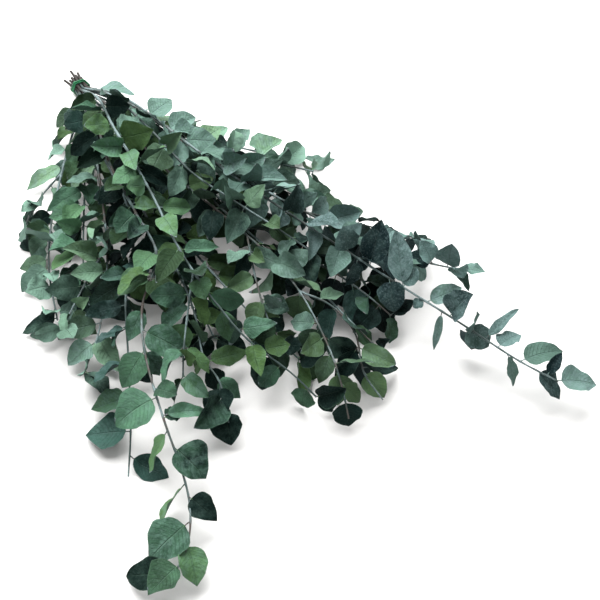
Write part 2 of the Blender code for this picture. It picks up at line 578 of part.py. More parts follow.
def grow_leaves(shoots):
    """The leaves of each branch, every one clear of the other branches."""
    placed = placed_shoots(shoots)
    leaves = {branch.name: [] for branch in BRANCHES}
    rooms = {branch.name: [] for branch in BRANCHES}
    for number, traced in enumerate(TRACED):
        spot = Vector(traced.base) * MM
        roots = [nearest_on(shoot.points, spot) for shoot in shoots if shoot.branch == traced.branch]
        base = min(roots, key=lambda root: (root - spot).length)
        found = first_clear(traced.branch, traced_tries(traced, base, random.Random(SEED + number)),
                            TRACED_CLEARANCE, placed)
        leaves[traced.branch] += found
        if found:
            rooms[traced.branch].append((base, traced.room * MM))
    for number, shoot in enumerate(shoots):
        rng = random.Random(SEED * 1000 + number)
        along = distances(shoot.points)
        for distance, turn in leaf_nodes(shoot, rng):
            place = place_and_heading(shoot.points, along, distance)[0]
            if all((place - root).length >= room for root, room in rooms[shoot.branch]):
                tries = grown_tries(shoot, distance, turn, rng)
                leaves[shoot.branch] += first_clear(shoot.branch, tries, LEAF_CLEARANCE, placed)
    return leaves


def tube(name, points, radii, bevel_resolution, cyclic=False):
    """A closed tube through the points, made from a curve, as a mesh object."""
    curve = bpy.data.curves.new(name, "CURVE")
    curve.dimensions = "3D"
    curve.bevel_depth = radii[0]
    curve.bevel_resolution = bevel_resolution
    curve.use_fill_caps = not cyclic
    spline = curve.splines.new("POLY")
    spline.points.add(len(points) - 1)
    for point, place, radius in zip(spline.points, points, radii):
        point.co = (*place, 1)
        point.radius = radius / radii[0]
    spline.use_cyclic_u = cyclic
    guide = bpy.data.objects.new(name + "_curve", curve)
    bpy.context.scene.collection.objects.link(guide)
    mesh = bpy.data.meshes.new_from_object(guide.evaluated_get(bpy.context.evaluated_depsgraph_get()))
    bpy.data.objects.remove(guide)
    bm = bmesh.new()
    bm.from_mesh(mesh)
    bmesh.ops.remove_doubles(bm, verts=bm.verts, dist=1e-6)
    bmesh.ops.recalc_face_normals(bm, faces=bm.faces)
    bm.to_mesh(mesh)
    bm.free()
    obj = bpy.data.objects.new(name, mesh)
    bpy.context.scene.collection.objects.link(obj)
    return obj


def blade_object(name, leaf):
    """A leaf blade as a mesh object."""
    bm = blade(leaf, BLADE_ROWS, BLADE_THICKNESS)
    mesh = bpy.data.meshes.new(name)
    bm.to_mesh(mesh)
    bm.free()
    obj = bpy.data.objects.new(name, mesh)
    bpy.context.scene.collection.objects.link(obj)
    return obj


def keep_largest_shell(mesh):
    """Fills the hollows that a union sealed, and drops loose scraps."""
    bm = bmesh.new()
    bm.from_mesh(mesh)
    left = set(bm.verts)
    shells = []
    while left:
        shell = set()
        reached = [left.pop()]
        while reached:
            vert = reached.pop()
            shell.add(vert)
            near = [edge.other_vert(vert) for edge in vert.link_edges]
            reached += [other for other in near if other in left]
            left.difference_update(near)
        shells.append(shell)
    largest = max(shells, key=len)
    bmesh.ops.delete(bm, geom=[vert for vert in bm.verts if vert not in largest], context="VERTS")
    bm.to_mesh(mesh)
    bm.free()


def joined(stem, pieces):
    """The stem and the pieces as one closed body."""
    group = bpy.data.collections.new(stem.name + "_pieces")
    bpy.context.scene.collection.children.link(group)
    for piece in pieces:
        group.objects.link(piece)
    union = stem.modifiers.new("union", "BOOLEAN")
    union.operation = "UNION"
    union.operand_type = "COLLECTION"
    union.collection = group
    union.solver = "EXACT"
    mesh = bpy.data.meshes.new_from_object(stem.evaluated_get(bpy.context.evaluated_depsgraph_get()))
    keep_largest_shell(mesh)
    stem.modifiers.remove(union)
    stem.data = mesh
    for piece in pieces:
        bpy.data.objects.remove(piece)
    bpy.data.collections.remove(group)
    return stem


def band_points():
    """The closed run of the band: level turns round the pack, with the last crossing back over them."""
    stems = [Vector((0, *pack_place(branch.row, branch.place))) for branch in BRANCHES]
    centre = sum(stems, Vector()) / len(stems)
    reach = STEM_RADIUS + BAND_GAP + BAND_RADIUS
    points = []
    for i in range(BAND_TURNS * BAND_POINTS):
        turns = i / BAND_POINTS
        outward = Vector((0, math.sin(math.tau * turns), -math.cos(math.tau * turns)))
        corner = max(stems, key=lambda stem: (stem - centre).dot(outward))
        back = max(0.0, turns - (BAND_TURNS - 1))
        last = (BAND_TURNS - 1) / 2
        lane = min(turns, BAND_TURNS - 1) - last
        across = (back - BAND_CROSSING[0]) / (BAND_CROSSING[1] - BAND_CROSSING[0])
        crossing = 0.5 - 0.5 * math.cos(math.pi * min(max(across, 0.0), 1.0))
        lift = math.sin(math.pi * back) ** 2 * (2 * BAND_RADIUS + BAND_GAP)
        spot = corner + outward * (reach + lift)
        spot.x = (lane + crossing * (-last - lane)) * BAND_PITCH
        points.append(spot)
    return points


def material(name, colour, roughness):
    """A plain matte material."""
    made = bpy.data.materials.new(name)
    made.use_nodes = True
    shader = made.node_tree.nodes["Principled BSDF"]
    shader.inputs["Base Color"].default_value = (*colour, 1)
    shader.inputs["Roughness"].default_value = roughness
    shader.inputs["Metallic"].default_value = 0.0
    made.diffuse_color = (*colour, 1)
    return made


def main():
    """Builds the bunch."""
    clear_scene()
    bunch = bpy.data.objects.new("bunch", None)
    bunch.location = MIDDLE_TO_BAND
    bpy.context.scene.collection.objects.link(bunch)
    shoots = all_shoots()
    leaves = grow_leaves(shoots)
    mains = {shoot.branch: shoot for shoot in reversed(shoots)}
    for branch in BRANCHES:
        stem = tube(branch.name, mains[branch.name].points, mains[branch.name].radii, STEM_BEVEL)
        pieces = [
            tube("twig", shoot.points, shoot.radii, STEM_BEVEL)
            for shoot in shoots if shoot.branch == branch.name and shoot is not mains[branch.name]
        ]
        pieces += [blade_object("leaf", leaf) for leaf in leaves[branch.name]]
        stem = joined(stem, pieces)
        stem.data.materials.append(material(branch.name, branch.foliage, LEAF_ROUGHNESS))
        stem.parent = bunch
    points = band_points()
    band = tube("rubber_band", points, [BAND_RADIUS] * len(points), 1, cyclic=True)
    band.data.materials.append(material("rubber_band", BAND_COLOUR, BAND_ROUGHNESS))
    band.data.shade_smooth()
    band.parent = bunch


main()
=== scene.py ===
"""A tied bunch of preserved eucalyptus branches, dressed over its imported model.

Sixteen branches lie fanned out from a green rubber band. Each is one piece: its stem with
swollen nodes, its side twigs and its leaves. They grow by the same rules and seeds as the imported
solids, so every solid leaf has its dressed leaf, and more leaves then fill the gaps between them.
Metres, +Z up. Everything is laid out from the band along +X, and each finished mesh is then moved
so that the middle of the bunch is over the origin.
"""

import logging
import math
import random
from collections.abc import Iterator, Sequence
from dataclasses import dataclass, replace
from enum import Enum

import bmesh
import bpy
from bmesh.types import BMEdge, BMesh, BMVert
from mathutils import Matrix, Vector
from mathutils.bvhtree import BVHTree


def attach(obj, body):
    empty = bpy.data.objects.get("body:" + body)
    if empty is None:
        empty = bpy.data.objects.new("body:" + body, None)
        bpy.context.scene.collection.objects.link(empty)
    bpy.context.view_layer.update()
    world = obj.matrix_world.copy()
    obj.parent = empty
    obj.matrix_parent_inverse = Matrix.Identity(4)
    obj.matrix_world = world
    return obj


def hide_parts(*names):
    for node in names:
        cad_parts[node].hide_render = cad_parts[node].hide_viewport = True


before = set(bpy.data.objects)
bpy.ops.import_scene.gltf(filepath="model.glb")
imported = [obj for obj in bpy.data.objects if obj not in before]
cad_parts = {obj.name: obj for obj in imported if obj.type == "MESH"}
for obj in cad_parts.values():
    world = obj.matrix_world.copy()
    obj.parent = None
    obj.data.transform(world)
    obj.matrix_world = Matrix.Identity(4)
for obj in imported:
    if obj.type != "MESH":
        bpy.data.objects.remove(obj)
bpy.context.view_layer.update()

log = logging.getLogger("eucalyptus_bunch")

Colour = tuple[float, float, float]
Route = tuple[Colour, ...]
Socket = bpy.types.NodeSocket
Value = float | Socket
Values = dict[str | int, Value | Colour]
Span = tuple[float, float]
Spots = dict[BMVert, tuple[float, float]]

MM = 0.001
SEED = 20
UP = Vector((0, 0, 1))
MIDDLE_TO_BAND = Vector((-347, 7, 0)) * MM
SAME_PLACE = 1e-6
FARTHEST_ON_SPAN = 0.97
WHOLE_LENGTH = (0.0, 1.0)
LEAF_MAP = "leaf_map"
TINT = "tint"


def add_object(name: str, data: bpy.types.ID) -> bpy.types.Object:
    """Puts data into the scene as an object.

    Args:
        name: The object's name.
        data: Its mesh, curve, lamp or camera.

    Returns:
        The object, at the origin.
    """
    made = bpy.data.objects.new(name, data)
    bpy.context.scene.collection.objects.link(made)
    return made


def mesh_object(name: str, bm: BMesh) -> bpy.types.Object:
    """Puts a finished mesh into the scene as an object, and frees what it was built in.

    Args:
        name: The name of the mesh and the object.
        bm: What the mesh was built in.

    Returns:
        The object, at the origin.
    """
    mesh = bpy.data.meshes.new(name)
    bm.to_mesh(mesh)
    bm.free()
    return add_object(name, mesh)


# Finishes


class Graph:
    """A material's nodes, made and joined one by one."""

    def __init__(self, name: str) -> None:
        """Starts a material with its Principled shader.

        Args:
            name: The material's name.
        """
        self.material = bpy.data.materials.new(name)
        self.material.use_nodes = True
        self.nodes = self.material.node_tree.nodes
        self.shader = self.nodes["Principled BSDF"]

    def join(self, value: Value | Colour, socket: Socket) -> None:
        """Links a socket into another, or sets a plain value on it.

        Args:
            value: A number, a colour or the socket that gives one.
            socket: The socket that takes it.
        """
        if isinstance(value, Socket):
            self.material.node_tree.links.new(value, socket)
        elif isinstance(value, tuple):
            socket.default_value = (*value, 1.0)[:len(socket.default_value)]
        else:
            socket.default_value = value

    def node(self, kind: str, values: Values, **settings: str) -> list[Socket]:
        """Adds a node.

        Args:
            kind: Its kind, as Blender names it after "ShaderNode".
            values: What its sockets take, by their names or numbers.
            **settings: Its own settings.

        Returns:
            The sockets that it gives.
        """
        node = self.nodes.new("ShaderNode" + kind)
        for name, setting in settings.items():
            setattr(node, name, setting)
        for key, value in values.items():
            self.join(value, node.inputs[key])
        return node.outputs

    def shade(self, **values: Value | Colour) -> None:
        """Sets or links the shader's sockets, by their names with low lines for spaces."""
        for name, value in values.items():
            self.join(value, self.shader.inputs[name.replace("_", " ")])

    def math(self, operation: str, *values: Value) -> Socket:
        """The result of a sum, by its name, on some numbers."""
        return self.node("Math", dict(enumerate(values)), operation=operation)[0]

    def times(self, a: Value, b: Value) -> Socket:
        """The product of two numbers."""
        return self.math("MULTIPLY", a, b)

    def mix(self, part: Value, low: Value | Colour, high: Value | Colour) -> Socket:
        """A blend of two colours, with the given part of the second."""
        return self.node("Mix", {"Factor": part, 6: low, 7: high}, data_type="RGBA")[2]

    def ease(
        self, value: Value, start: float, end: float, low: float = 0.0, high: float = 1.0
    ) -> Socket:
        """A smooth step from low to high, as the value goes from start to end."""
        values = dict(enumerate((value, start, end, low, high)))
        return self.node("MapRange", values, interpolation_type="SMOOTHSTEP")[0]

    def noise(self, place: Socket, scale: float, detail: float) -> Socket:
        """A soft random field around 0.5, by its blotches in a metre and its finer layers."""
        return self.node("TexNoise", {"Vector": place, "Scale": scale, "Detail": detail})[0]

    def place(self, stretch: Colour = (1.0, 1.0, 1.0)) -> Socket:
        """The object's own coordinates, stretched by a factor on each axis."""
        own = self.node("TexCoord", {})["Object"]
        return self.node("Mapping", {"Vector": own, "Scale": stretch})[0]

    def tint(self) -> list[Socket]:
        """The three numbers that each leaf or stem point carries."""
        carried = self.node("Attribute", {}, attribute_name=TINT)["Color"]
        return self.node("SeparateColor", {0: carried})[:]

    def bump(self, height: Socket, strength: float, depth: float) -> None:
        """Gives the shader a relief, whose full height stands for a depth in metres."""
        values = {"Strength": strength, "Distance": depth, "Height": height}
        self.shade(Normal=self.node("Bump", values)[0])

    def finished(self, plain: Colour) -> bpy.types.Material:
        """The material, with the colour that a view without shaders gives it."""
        self.material.diffuse_color = (*plain, 1)
        return self.material


class Skin(Enum):
    """The skins of a branch, in the order of its material slots."""

    TOP = 0
    UNDER = 1
    BARK = 2
    CUT = 3


@dataclass(frozen=True)
class LeafFinish:
    """A leaf's matte skin, with midrib, side veins, mottling, pale edges, a dusty bloom and an
    underside darkened as painted shade.

    Attributes:
        slot: The record's material slot that it stands for.
        deep: The colour of its darkest leaves.
        light: The colour of its lightest leaves.
        warm: The colour that its yellower leaves turn to.
        vein: The colour of the midrib and the side veins.
        dust: The colour of the bloom.
        pale_under: How much of the bloom's colour the underside has.
        speckle: How much it is speckled with bloom.
    """

    slot: str
    deep: Colour
    light: Colour
    warm: Colour
    vein: Colour
    dust: Colour
    pale_under: float = 0.15
    speckle: float = 0.12

    # Each noise: its blotches in a metre and its finer layers
    BLOTCHES = (55.0, 4.0)
    WRINKLES = (150.0, 3.0)
    BLOOM = (130.0, 5.0)
    SPECKLES = (520.0, 3.0)
    GRAIN = (620.0, 2.0)

    # How far each of them goes over into the colour under it
    MOTTLING = 1.3
    WARM_PART = 0.7
    # Painted shade: how far the underside is darkened towards the deep colour
    UNDERSIDE_PAINTED_SHADE = 0.45
    BLOOM_PART = 0.5
    EDGE_PART = 0.2
    RIB_PART = 0.22
    VEIN_PART = 0.06

    # The relief: how high each stands in it, how strongly it shows and its depth in metres
    SUNK_VEINS = 0.55
    GRAIN_HEIGHT = 0.35
    BLOTCH_HEIGHT = 1.6
    WRINKLE_HEIGHT = 1.8
    RELIEF = (0.85, 0.0013)

    SIDE_VEINS = 11.0
    VEIN_SLANT = 2.6
    SHINE = 0.07

    def skin(self, side: Skin) -> bpy.types.Material:
        """Makes the skin of one side.

        Args:
            side: The top or the underside.

        Returns:
            The material.
        """
        graph = Graph(f"{self.slot}_{side.name.lower()}")
        # The tone carries painted light and shade from the leaf's place in the bunch, as well as
        # its own tone
        tone, warmth, bloom = graph.tint()
        place = graph.place()
        blotch = graph.noise(place, *self.BLOTCHES)
        rib, veins, edge = self._veins(graph)
        spread = graph.math("SUBTRACT", blotch, 0.5)
        spread = graph.math("MULTIPLY_ADD", spread, self.MOTTLING, tone)
        spread = graph.math("MAXIMUM", graph.math("MINIMUM", spread, 1.0), 0.0)
        colour = graph.mix(spread, self.deep, self.light)
        colour = graph.mix(graph.times(warmth, self.WARM_PART), colour, self.warm)
        # The underside is darkened towards the deep colour as painted shade, then given some of the
        # bloom's colour
        if side is Skin.UNDER:
            colour = graph.mix(self.UNDERSIDE_PAINTED_SHADE, colour, self.deep)
            colour = graph.mix(self.pale_under, colour, self.dust)
        # Follows the tone, so leaves in painted shade show less bloom, speckle and vein colour
        lit = graph.ease(tone, -0.1, 0.45, 0.25, 1.0)
        dusty = graph.times(bloom, graph.ease(graph.noise(place, *self.BLOOM), 0.38, 0.66))
        speckles = graph.ease(graph.noise(place, *self.SPECKLES), 0.5, 0.64, 0.0, self.speckle)
        lines = graph.times(rib, self.RIB_PART)
        lines = graph.math("MAXIMUM", lines, graph.times(veins, self.VEIN_PART))
        colour = graph.mix(graph.times(graph.times(dusty, lit), self.BLOOM_PART), colour, self.dust)
        colour = graph.mix(graph.times(speckles, lit), colour, self.dust)
        colour = graph.mix(graph.times(edge, self.EDGE_PART), colour, self.vein)
        colour = graph.mix(graph.times(lines, lit), colour, self.vein)
        sunk = graph.math("MAXIMUM", rib, graph.times(veins, self.SUNK_VEINS))
        height = graph.math("MULTIPLY_ADD", sunk, -1.0 if side is Skin.TOP else 1.0, 0.5)
        for layer, rise in (
            (graph.noise(place, *self.GRAIN), self.GRAIN_HEIGHT),
            (blotch, self.BLOTCH_HEIGHT),
            (graph.noise(place, *self.WRINKLES), self.WRINKLE_HEIGHT),
        ):
            height = graph.math("MULTIPLY_ADD", layer, rise, height)
        graph.bump(height, *self.RELIEF)
        rough = graph.ease(blotch, 0.3, 0.7, 0.58, 0.74)
        graph.shade(Base_Color=colour, Roughness=rough, Specular_IOR_Level=self.SHINE)
        return graph.finished(self.light)

    def _veins(self, graph: Graph) -> tuple[Socket, ...]:
        """Draws the veins over the leaf's own map.

        Args:
            graph: The nodes that they are drawn with.

        Returns:
            How much each point belongs to the midrib, to the side veins and to the edge.
        """
        chart = graph.node("UVMap", {}, uv_map=LEAF_MAP)[0]
        along, across, _ = graph.node("SeparateXYZ", {0: chart})
        off_rib = graph.math("ABSOLUTE", graph.math("MULTIPLY_ADD", across, 2.0, -1.0))
        rib = graph.ease(off_rib, 0.012, 0.06, 1.0, 0.0)
        slant = graph.times(graph.math("POWER", off_rib, 1.25), self.VEIN_SLANT)
        steps = graph.math("SUBTRACT", graph.times(along, self.SIDE_VEINS), slant)
        ladder = graph.ease(graph.math("PINGPONG", steps, 0.5), 0.015, 0.09, 1.0, 0.0)
        veins = graph.times(ladder, graph.ease(off_rib, 0.8, 0.95, 1.0, 0.0))
        return rib, veins, graph.ease(off_rib, 0.93, 0.99)


@dataclass(frozen=True)
class BarkFinish:
    """The skin of stems and twigs, dark at the cut ends and blue-green with bloom beyond.

    Attributes:
        old: The colour near the cut end.
        young: The colour near the tip.
        blush: The colour of pinkish streaks.
        bloom: The colour of the bloom on it.
    """

    old: Colour
    young: Colour
    blush: Colour
    bloom: Colour

    STREAKS = (90.0, 900.0, 900.0)
    BLOTCHES = (70.0, 3.0)
    PATCHES = (24.0, 3.0)
    RELIEF = (0.5, 0.0005)

    def skin(self) -> bpy.types.Material:
        """Makes the skin.

        Returns:
            The material.
        """
        graph = Graph("stem_bark")
        growth, blush, _ = graph.tint()
        streaks = graph.noise(graph.place(self.STREAKS), 1.0, 4.0)
        blotch = graph.noise(graph.place(), *self.BLOTCHES)
        patches = graph.ease(graph.noise(graph.place(), *self.PATCHES), 0.46, 0.56)
        patches = graph.times(patches, graph.ease(growth, 0.05, 0.12))
        patches = graph.times(patches, graph.ease(streaks, 0.35, 0.6, 0.25, 0.9))
        colour = graph.mix(graph.ease(growth, 0.035, 0.08), self.old, self.young)
        colour = graph.mix(graph.times(blush, graph.ease(blotch, 0.4, 0.6)), colour, self.blush)
        colour = graph.mix(patches, colour, self.bloom)
        graph.bump(graph.math("MULTIPLY_ADD", streaks, 0.7, blotch), *self.RELIEF)
        rough = graph.ease(streaks, 0.3, 0.7, 0.55, 0.75)
        graph.shade(Base_Color=colour, Roughness=rough, Specular_IOR_Level=0.3)
        return graph.finished(self.young)


@dataclass(frozen=True)
class CutFinish:
    """The cut wood at the end of a stem, stained in places.

    Attributes:
        wood: The colour of the wood.
        stain: The colour that it has dried to in places.
    """

    wood: Colour
    stain: Colour

    FIBRES = (1400.0, 3.0)
    RELIEF = (0.6, 0.0003)

    def skin(self) -> bpy.types.Material:
        """Makes the skin.

        Returns:
            The material.
        """
        graph = Graph("cut_wood")
        fibres = graph.noise(graph.place(), *self.FIBRES)
        colour = graph.mix(graph.ease(fibres, 0.35, 0.65), self.wood, self.stain)
        graph.bump(fibres, *self.RELIEF)
        graph.shade(Base_Color=colour, Roughness=0.8, Specular_IOR_Level=0.25)
        return graph.finished(self.wood)


@dataclass(frozen=True)
class RubberFinish:
    """Bright rubber with a soft shine, paler in clouds.

    Attributes:
        colour: Its colour.
        worn: Its colour where it is stretched pale.
    """

    colour: Colour
    worn: Colour

    CLOUDS = (260.0, 4.0)
    GRAIN = (2600.0, 2.0)
    RELIEF = (0.3, 0.0002)

    def skin(self) -> bpy.types.Material:
        """Makes the skin.

        Returns:
            The material.
        """
        graph = Graph("green_rubber")
        cloud = graph.noise(graph.place(), *self.CLOUDS)
        graph.bump(graph.noise(graph.place(), *self.GRAIN), *self.RELIEF)
        graph.shade(Base_Color=graph.mix(graph.ease(cloud, 0.35, 0.7), self.colour, self.worn))
        graph.shade(Roughness=graph.ease(cloud, 0.3, 0.7, 0.38, 0.55), Specular_IOR_Level=0.45)
        return graph.finished(self.colour)


class Foliage(Enum):
    """The kinds of foliage that the branches carry."""

    PALE = LeafFinish(
        "pale_leaf", (0.006, 0.019, 0.016), (0.170, 0.300, 0.230), (0.16, 0.28, 0.12),
        (0.19, 0.29, 0.235), (0.19, 0.29, 0.265))
    FRESH = LeafFinish(
        "fresh_leaf", (0.003, 0.012, 0.010), (0.080, 0.185, 0.112), (0.115, 0.22, 0.07),
        (0.14, 0.24, 0.17), (0.14, 0.24, 0.20))
    DEEP = LeafFinish(
        "deep_leaf", (0.001, 0.004, 0.004), (0.033, 0.083, 0.068), (0.05, 0.105, 0.045),
        (0.085, 0.15, 0.13), (0.09, 0.15, 0.145))
    DUSTY = LeafFinish(
        "dusty_leaf", (0.006, 0.018, 0.020), (0.115, 0.195, 0.180), (0.145, 0.26, 0.20),
        (0.17, 0.26, 0.245), (0.18, 0.26, 0.265), speckle=0.4)


BARK = BarkFinish(
    (0.018, 0.015, 0.012), (0.042, 0.068, 0.064), (0.075, 0.046, 0.038), (0.19, 0.26, 0.265)
)
CUT_WOOD = CutFinish((0.05, 0.038, 0.026), (0.02, 0.015, 0.011))
RUBBER = RubberFinish((0.010, 0.150, 0.06), (0.035, 0.27, 0.11))


# Where things grow


@dataclass(frozen=True)
class Habit:
    """How the leaves stand along a shoot.

    Attributes:
        first: How far up the shoot the first leaves stand, in mm.
        spacing: The distance from pair to pair, in mm.
        size: The leaves' size against the usual one.
        lie: How flat the leaves lie, from 0 to 1.
        keep: The share of leaves that haven't dropped.
    """

    first: float
    spacing: float
    size: float
    lie: float
    keep: float


UNDER = Habit(140, 46, 0.95, 0.8, 0.4)
LOW = Habit(62, 33, 0.93, 0.72, 0.7)
MIDDLE = Habit(130, 34, 0.93, 0.5, 0.66)
HIGH = Habit(150, 33, 0.93, 0.45, 0.7)
SPRIG = Habit(24, 32, 0.86, 0.5, 0.68)


@dataclass(frozen=True)
class Leaf:
    """One leaf, as a bent and folded blade.

    Attributes:
        base: Where its stalk leaves the stem.
        along: The way that it starts out.
        up: The way that its top faces there.
        length: Its length with the stalk.
        width: Its greatest width.
        bend: How far it turns down from root to tip, in radians.
        fold: How far each half is raised from the midrib, in radians.
        wave: The height of its wave.
        phase: Where in its wave it starts.
        point: How pointed it is.
        stalk: The part of its length that is bare stalk.
    """

    base: Vector
    along: Vector
    up: Vector
    length: float
    width: float
    bend: float
    fold: float
    wave: float
    phase: float
    point: float
    stalk: float = 0.1

    USUAL_LENGTH = 44 * MM
    HIGHEST = 108 * MM
    ROUND_END = 0.55
    THICKNESS = 0.6 * MM
    WHOLE_ROWS = (0.0, 0.22, 0.56, 1.0)
    OUTER_ROWS = (0.3, 0.56, 1.0)
    RIB_ROW = 0.56

    # The dressed leaf, whose waves have a height, then turns along it, in its phase and across it
    FINE_THICKNESS = 0.4 * MM
    FINE_ROWS = 16
    FINE_COLUMNS = 8
    FINE_POINT = 0.22
    UNEVEN_EDGES = ((0.05, 9, 3, 2), (0.03, 23, 5, 4))
    FRILLS = ((1.7 * MM, 11, 2, 2.2), (0.5 * MM, 27, 7, 3))
    ROUNDED_FOLD = 1.35
    TWIST = 0.22
    HOOK = 0.05
    HOOK_START = 0.55
    EDGE_ANGLE = 1.2

    def outline(self, u: float, point: float) -> float:
        """Half the width at a place along the leaf.

        Args:
            u: The place, from 0 at the root to 1 at the tip.
            point: How pointed the leaf is.

        Returns:
            The half width, as a part of the greatest one.
        """
        if u <= self.stalk or u >= 1:
            return 0.0
        w = (u - self.stalk) / (1 - self.stalk)
        widest = self.ROUND_END / (self.ROUND_END + point)
        return (w / widest) ** self.ROUND_END * ((1 - w) / (1 - widest)) ** point

    def _midrib(self, u: float) -> tuple[Vector, Vector]:
        """The midrib at a place along the leaf.

        Args:
            u: The place, from 0 at the root to 1 at the tip.

        Returns:
            Its point, and the way that the leaf's top faces there.
        """
        turn = self.bend * u
        ahead = self.length * u * (1 - turn * turn / 6)
        down = self.length * u * turn / 2 * (1 - turn * turn / 12)
        normal = self.up * math.cos(turn) + self.along * math.sin(turn)
        return self.base + self.along * ahead - self.up * down, normal

    def _ripple(self, u: float, v: float, full: float) -> float:
        """How far the leaf's wave raises a point whose half width is given."""
        return self.wave * math.sin(math.tau * u + self.phase + v) * full

    def _waves(self, waves: tuple[tuple[float, ...], ...], u: float, v: float) -> Iterator[float]:
        """The height of each of some waves at a place on the leaf."""
        return (high * math.sin(a * u + b * self.phase + c * v) for high, a, b, c in waves)

    def solid_point(self, u: float, v: float, lift: float) -> Vector:
        """A point of the leaf's solid.

        Args:
            u: The place from root to tip, from 0 to 1.
            v: The place from edge to edge, from -1 to 1.
            lift: The height over the middle surface.

        Returns:
            The point.
        """
        spot, normal = self._midrib(u)
        full = self.outline(u, self.point)
        half = 0.5 * self.width * full
        rise = half * abs(v) * math.sin(self.fold) + abs(v) * self._ripple(u, v, full)
        spot += self.along.cross(self.up) * (half * v * math.cos(self.fold))
        spot += normal * rise
        spot.z = max(spot.z, self.THICKNESS / 2)
        return spot + normal * lift

    def fine_point(self, u: float, v: float, lift: float) -> Vector:
        """A point of the dressed leaf, which has a finer edge, a twist and a hooked tip as well.

        Args:
            u: The place from root to tip, from 0 to 1.
            v: The place from edge to edge, from -1 to 1.
            lift: The height over the middle surface.

        Returns:
            The point.
        """
        spot, normal = self._midrib(u)
        full = self.outline(u, self.point + self.FINE_POINT)
        half = 0.5 * self.width * full * (1 + sum(self._waves(self.UNEVEN_EDGES, u, v)))
        frill = sum(self._waves(self.FRILLS, u, v)) * full * v * v
        fold = half * abs(v) ** self.ROUNDED_FOLD * math.sin(self.fold)
        rise = fold + abs(v) * self._ripple(u, v, full) + frill
        twist = self.TWIST * math.sin(self.phase * 3) * (u - 0.5)
        sideways = self.along.cross(self.up) * math.cos(twist) + normal * math.sin(twist)
        past = max(0.0, (u - self.HOOK_START) / (1 - self.HOOK_START))
        hook = self.HOOK * self.length * math.sin(self.phase) * past**2
        spot += sideways * (half * v * math.cos(self.fold))
        spot += normal * (rise - hook)
        spot.z = max(spot.z, self.THICKNESS / 2)
        return spot + normal * lift

    def rim(self) -> list[Vector]:
        """Its tip and the widest places of its edges."""
        places = ((1, 0), (self.RIB_ROW, 1), (self.RIB_ROW, -1))
        return [self.solid_point(u, v, 0) for u, v in places]

    def middle(self) -> Vector:
        """The middle of its blade."""
        return self.solid_point(self.RIB_ROW, 0, 0)

    def solid(self, rows: tuple[float, ...], thickness: float) -> tuple[BVHTree, list[Vector]]:
        """The leaf's solid, for finding where it meets others.

        Args:
            rows: The places along the leaf that it has edge points at.
            thickness: Its thickness.

        Returns:
            Its surface and its points.
        """
        bm = bmesh.new()
        bmesh.ops.create_grid(bm, x_segments=1, y_segments=len(rows) - 1, size=1)
        for vert in bm.verts:
            vert.co.y = rows[round((vert.co.y + 1) / 2 * (len(rows) - 1))]
        rib_row = {vert for vert in bm.verts if abs(vert.co.y - self.RIB_ROW) < 1e-3}
        widest = [edge for edge in bm.edges if rib_row.issuperset(edge.verts)]
        bmesh.ops.subdivide_edges(bm, edges=widest, cuts=1)
        for vert in bm.verts:
            vert.co = self.solid_point(vert.co.y, vert.co.x, thickness / 2)
        bmesh.ops.remove_doubles(bm, verts=bm.verts, dist=SAME_PLACE)
        bmesh.ops.triangulate(bm, faces=bm.faces)
        bmesh.ops.solidify(bm, geom=bm.faces[:], thickness=thickness)
        for vert in bm.verts:
            if vert.co.z < self.THICKNESS / 3 and thickness == self.THICKNESS:
                vert.co.z = 0.0
        bmesh.ops.recalc_face_normals(bm, faces=bm.faces)
        tree = BVHTree.FromBMesh(bm)
        points = [vert.co.copy() for vert in bm.verts]
        bm.free()
        return tree, points

    def dress(self, bm: BMesh, tint: Colour) -> None:
        """Adds the leaf's blade to a branch's mesh, as two skins that meet at its edge.

        Args:
            bm: The branch's mesh, with its leaf map and tint layers.
            tint: The tone, warmth and bloom of the leaf.
        """
        spots: Spots = {}
        for skin in (Skin.TOP, Skin.UNDER):
            spots |= self._sheet(bm, skin)
        bmesh.ops.remove_doubles(bm, verts=list(spots), dist=SAME_PLACE)
        chart = bm.loops.layers.uv[LEAF_MAP]
        shade = bm.verts.layers.float_color[TINT]
        kept = {vert: spot for vert, spot in spots.items() if vert.is_valid}
        for vert, (u, v) in kept.items():
            vert[shade] = (*tint, 1.0)
            for loop in vert.link_loops:
                loop[chart].uv = (u, 0.5 + 0.5 * v)
        for edge in {edge for vert in kept for edge in vert.link_edges}:
            edge.smooth = edge.calc_face_angle(0.0) < self.EDGE_ANGLE

    def _sheet(self, bm: BMesh, skin: Skin) -> Spots:
        """Adds one skin of the blade.

        Args:
            bm: The branch's mesh.
            skin: The top or the underside.

        Returns:
            Its vertices, each with its place along and across the leaf.
        """
        columns, rows = self.FINE_COLUMNS, self.FINE_ROWS
        made = bmesh.ops.create_grid(bm, x_segments=columns, y_segments=rows, size=1)
        side = 0.5 if skin is Skin.TOP else -0.5
        spots = {}
        for vert in made["verts"]:
            part = (vert.co.y + 1) / 2
            eased = 0.55 * part + 0.45 * (0.5 - 0.5 * math.cos(math.pi * part))
            u, v = self.stalk + (1 - self.stalk) * eased, vert.co.x
            at_rim = abs(v) > 0.99 or part < 0.01 or part > 0.99
            vert.co = self.fine_point(u, v, 0.0 if at_rim else side * self.FINE_THICKNESS)
            spots[vert] = (u, v)
        faces = list({face for vert in spots for face in vert.link_faces})
        for face in faces:
            face.material_index = skin.value
            face.smooth = True
        if skin is Skin.TOP:
            bmesh.ops.reverse_faces(bm, faces=faces)
        return spots


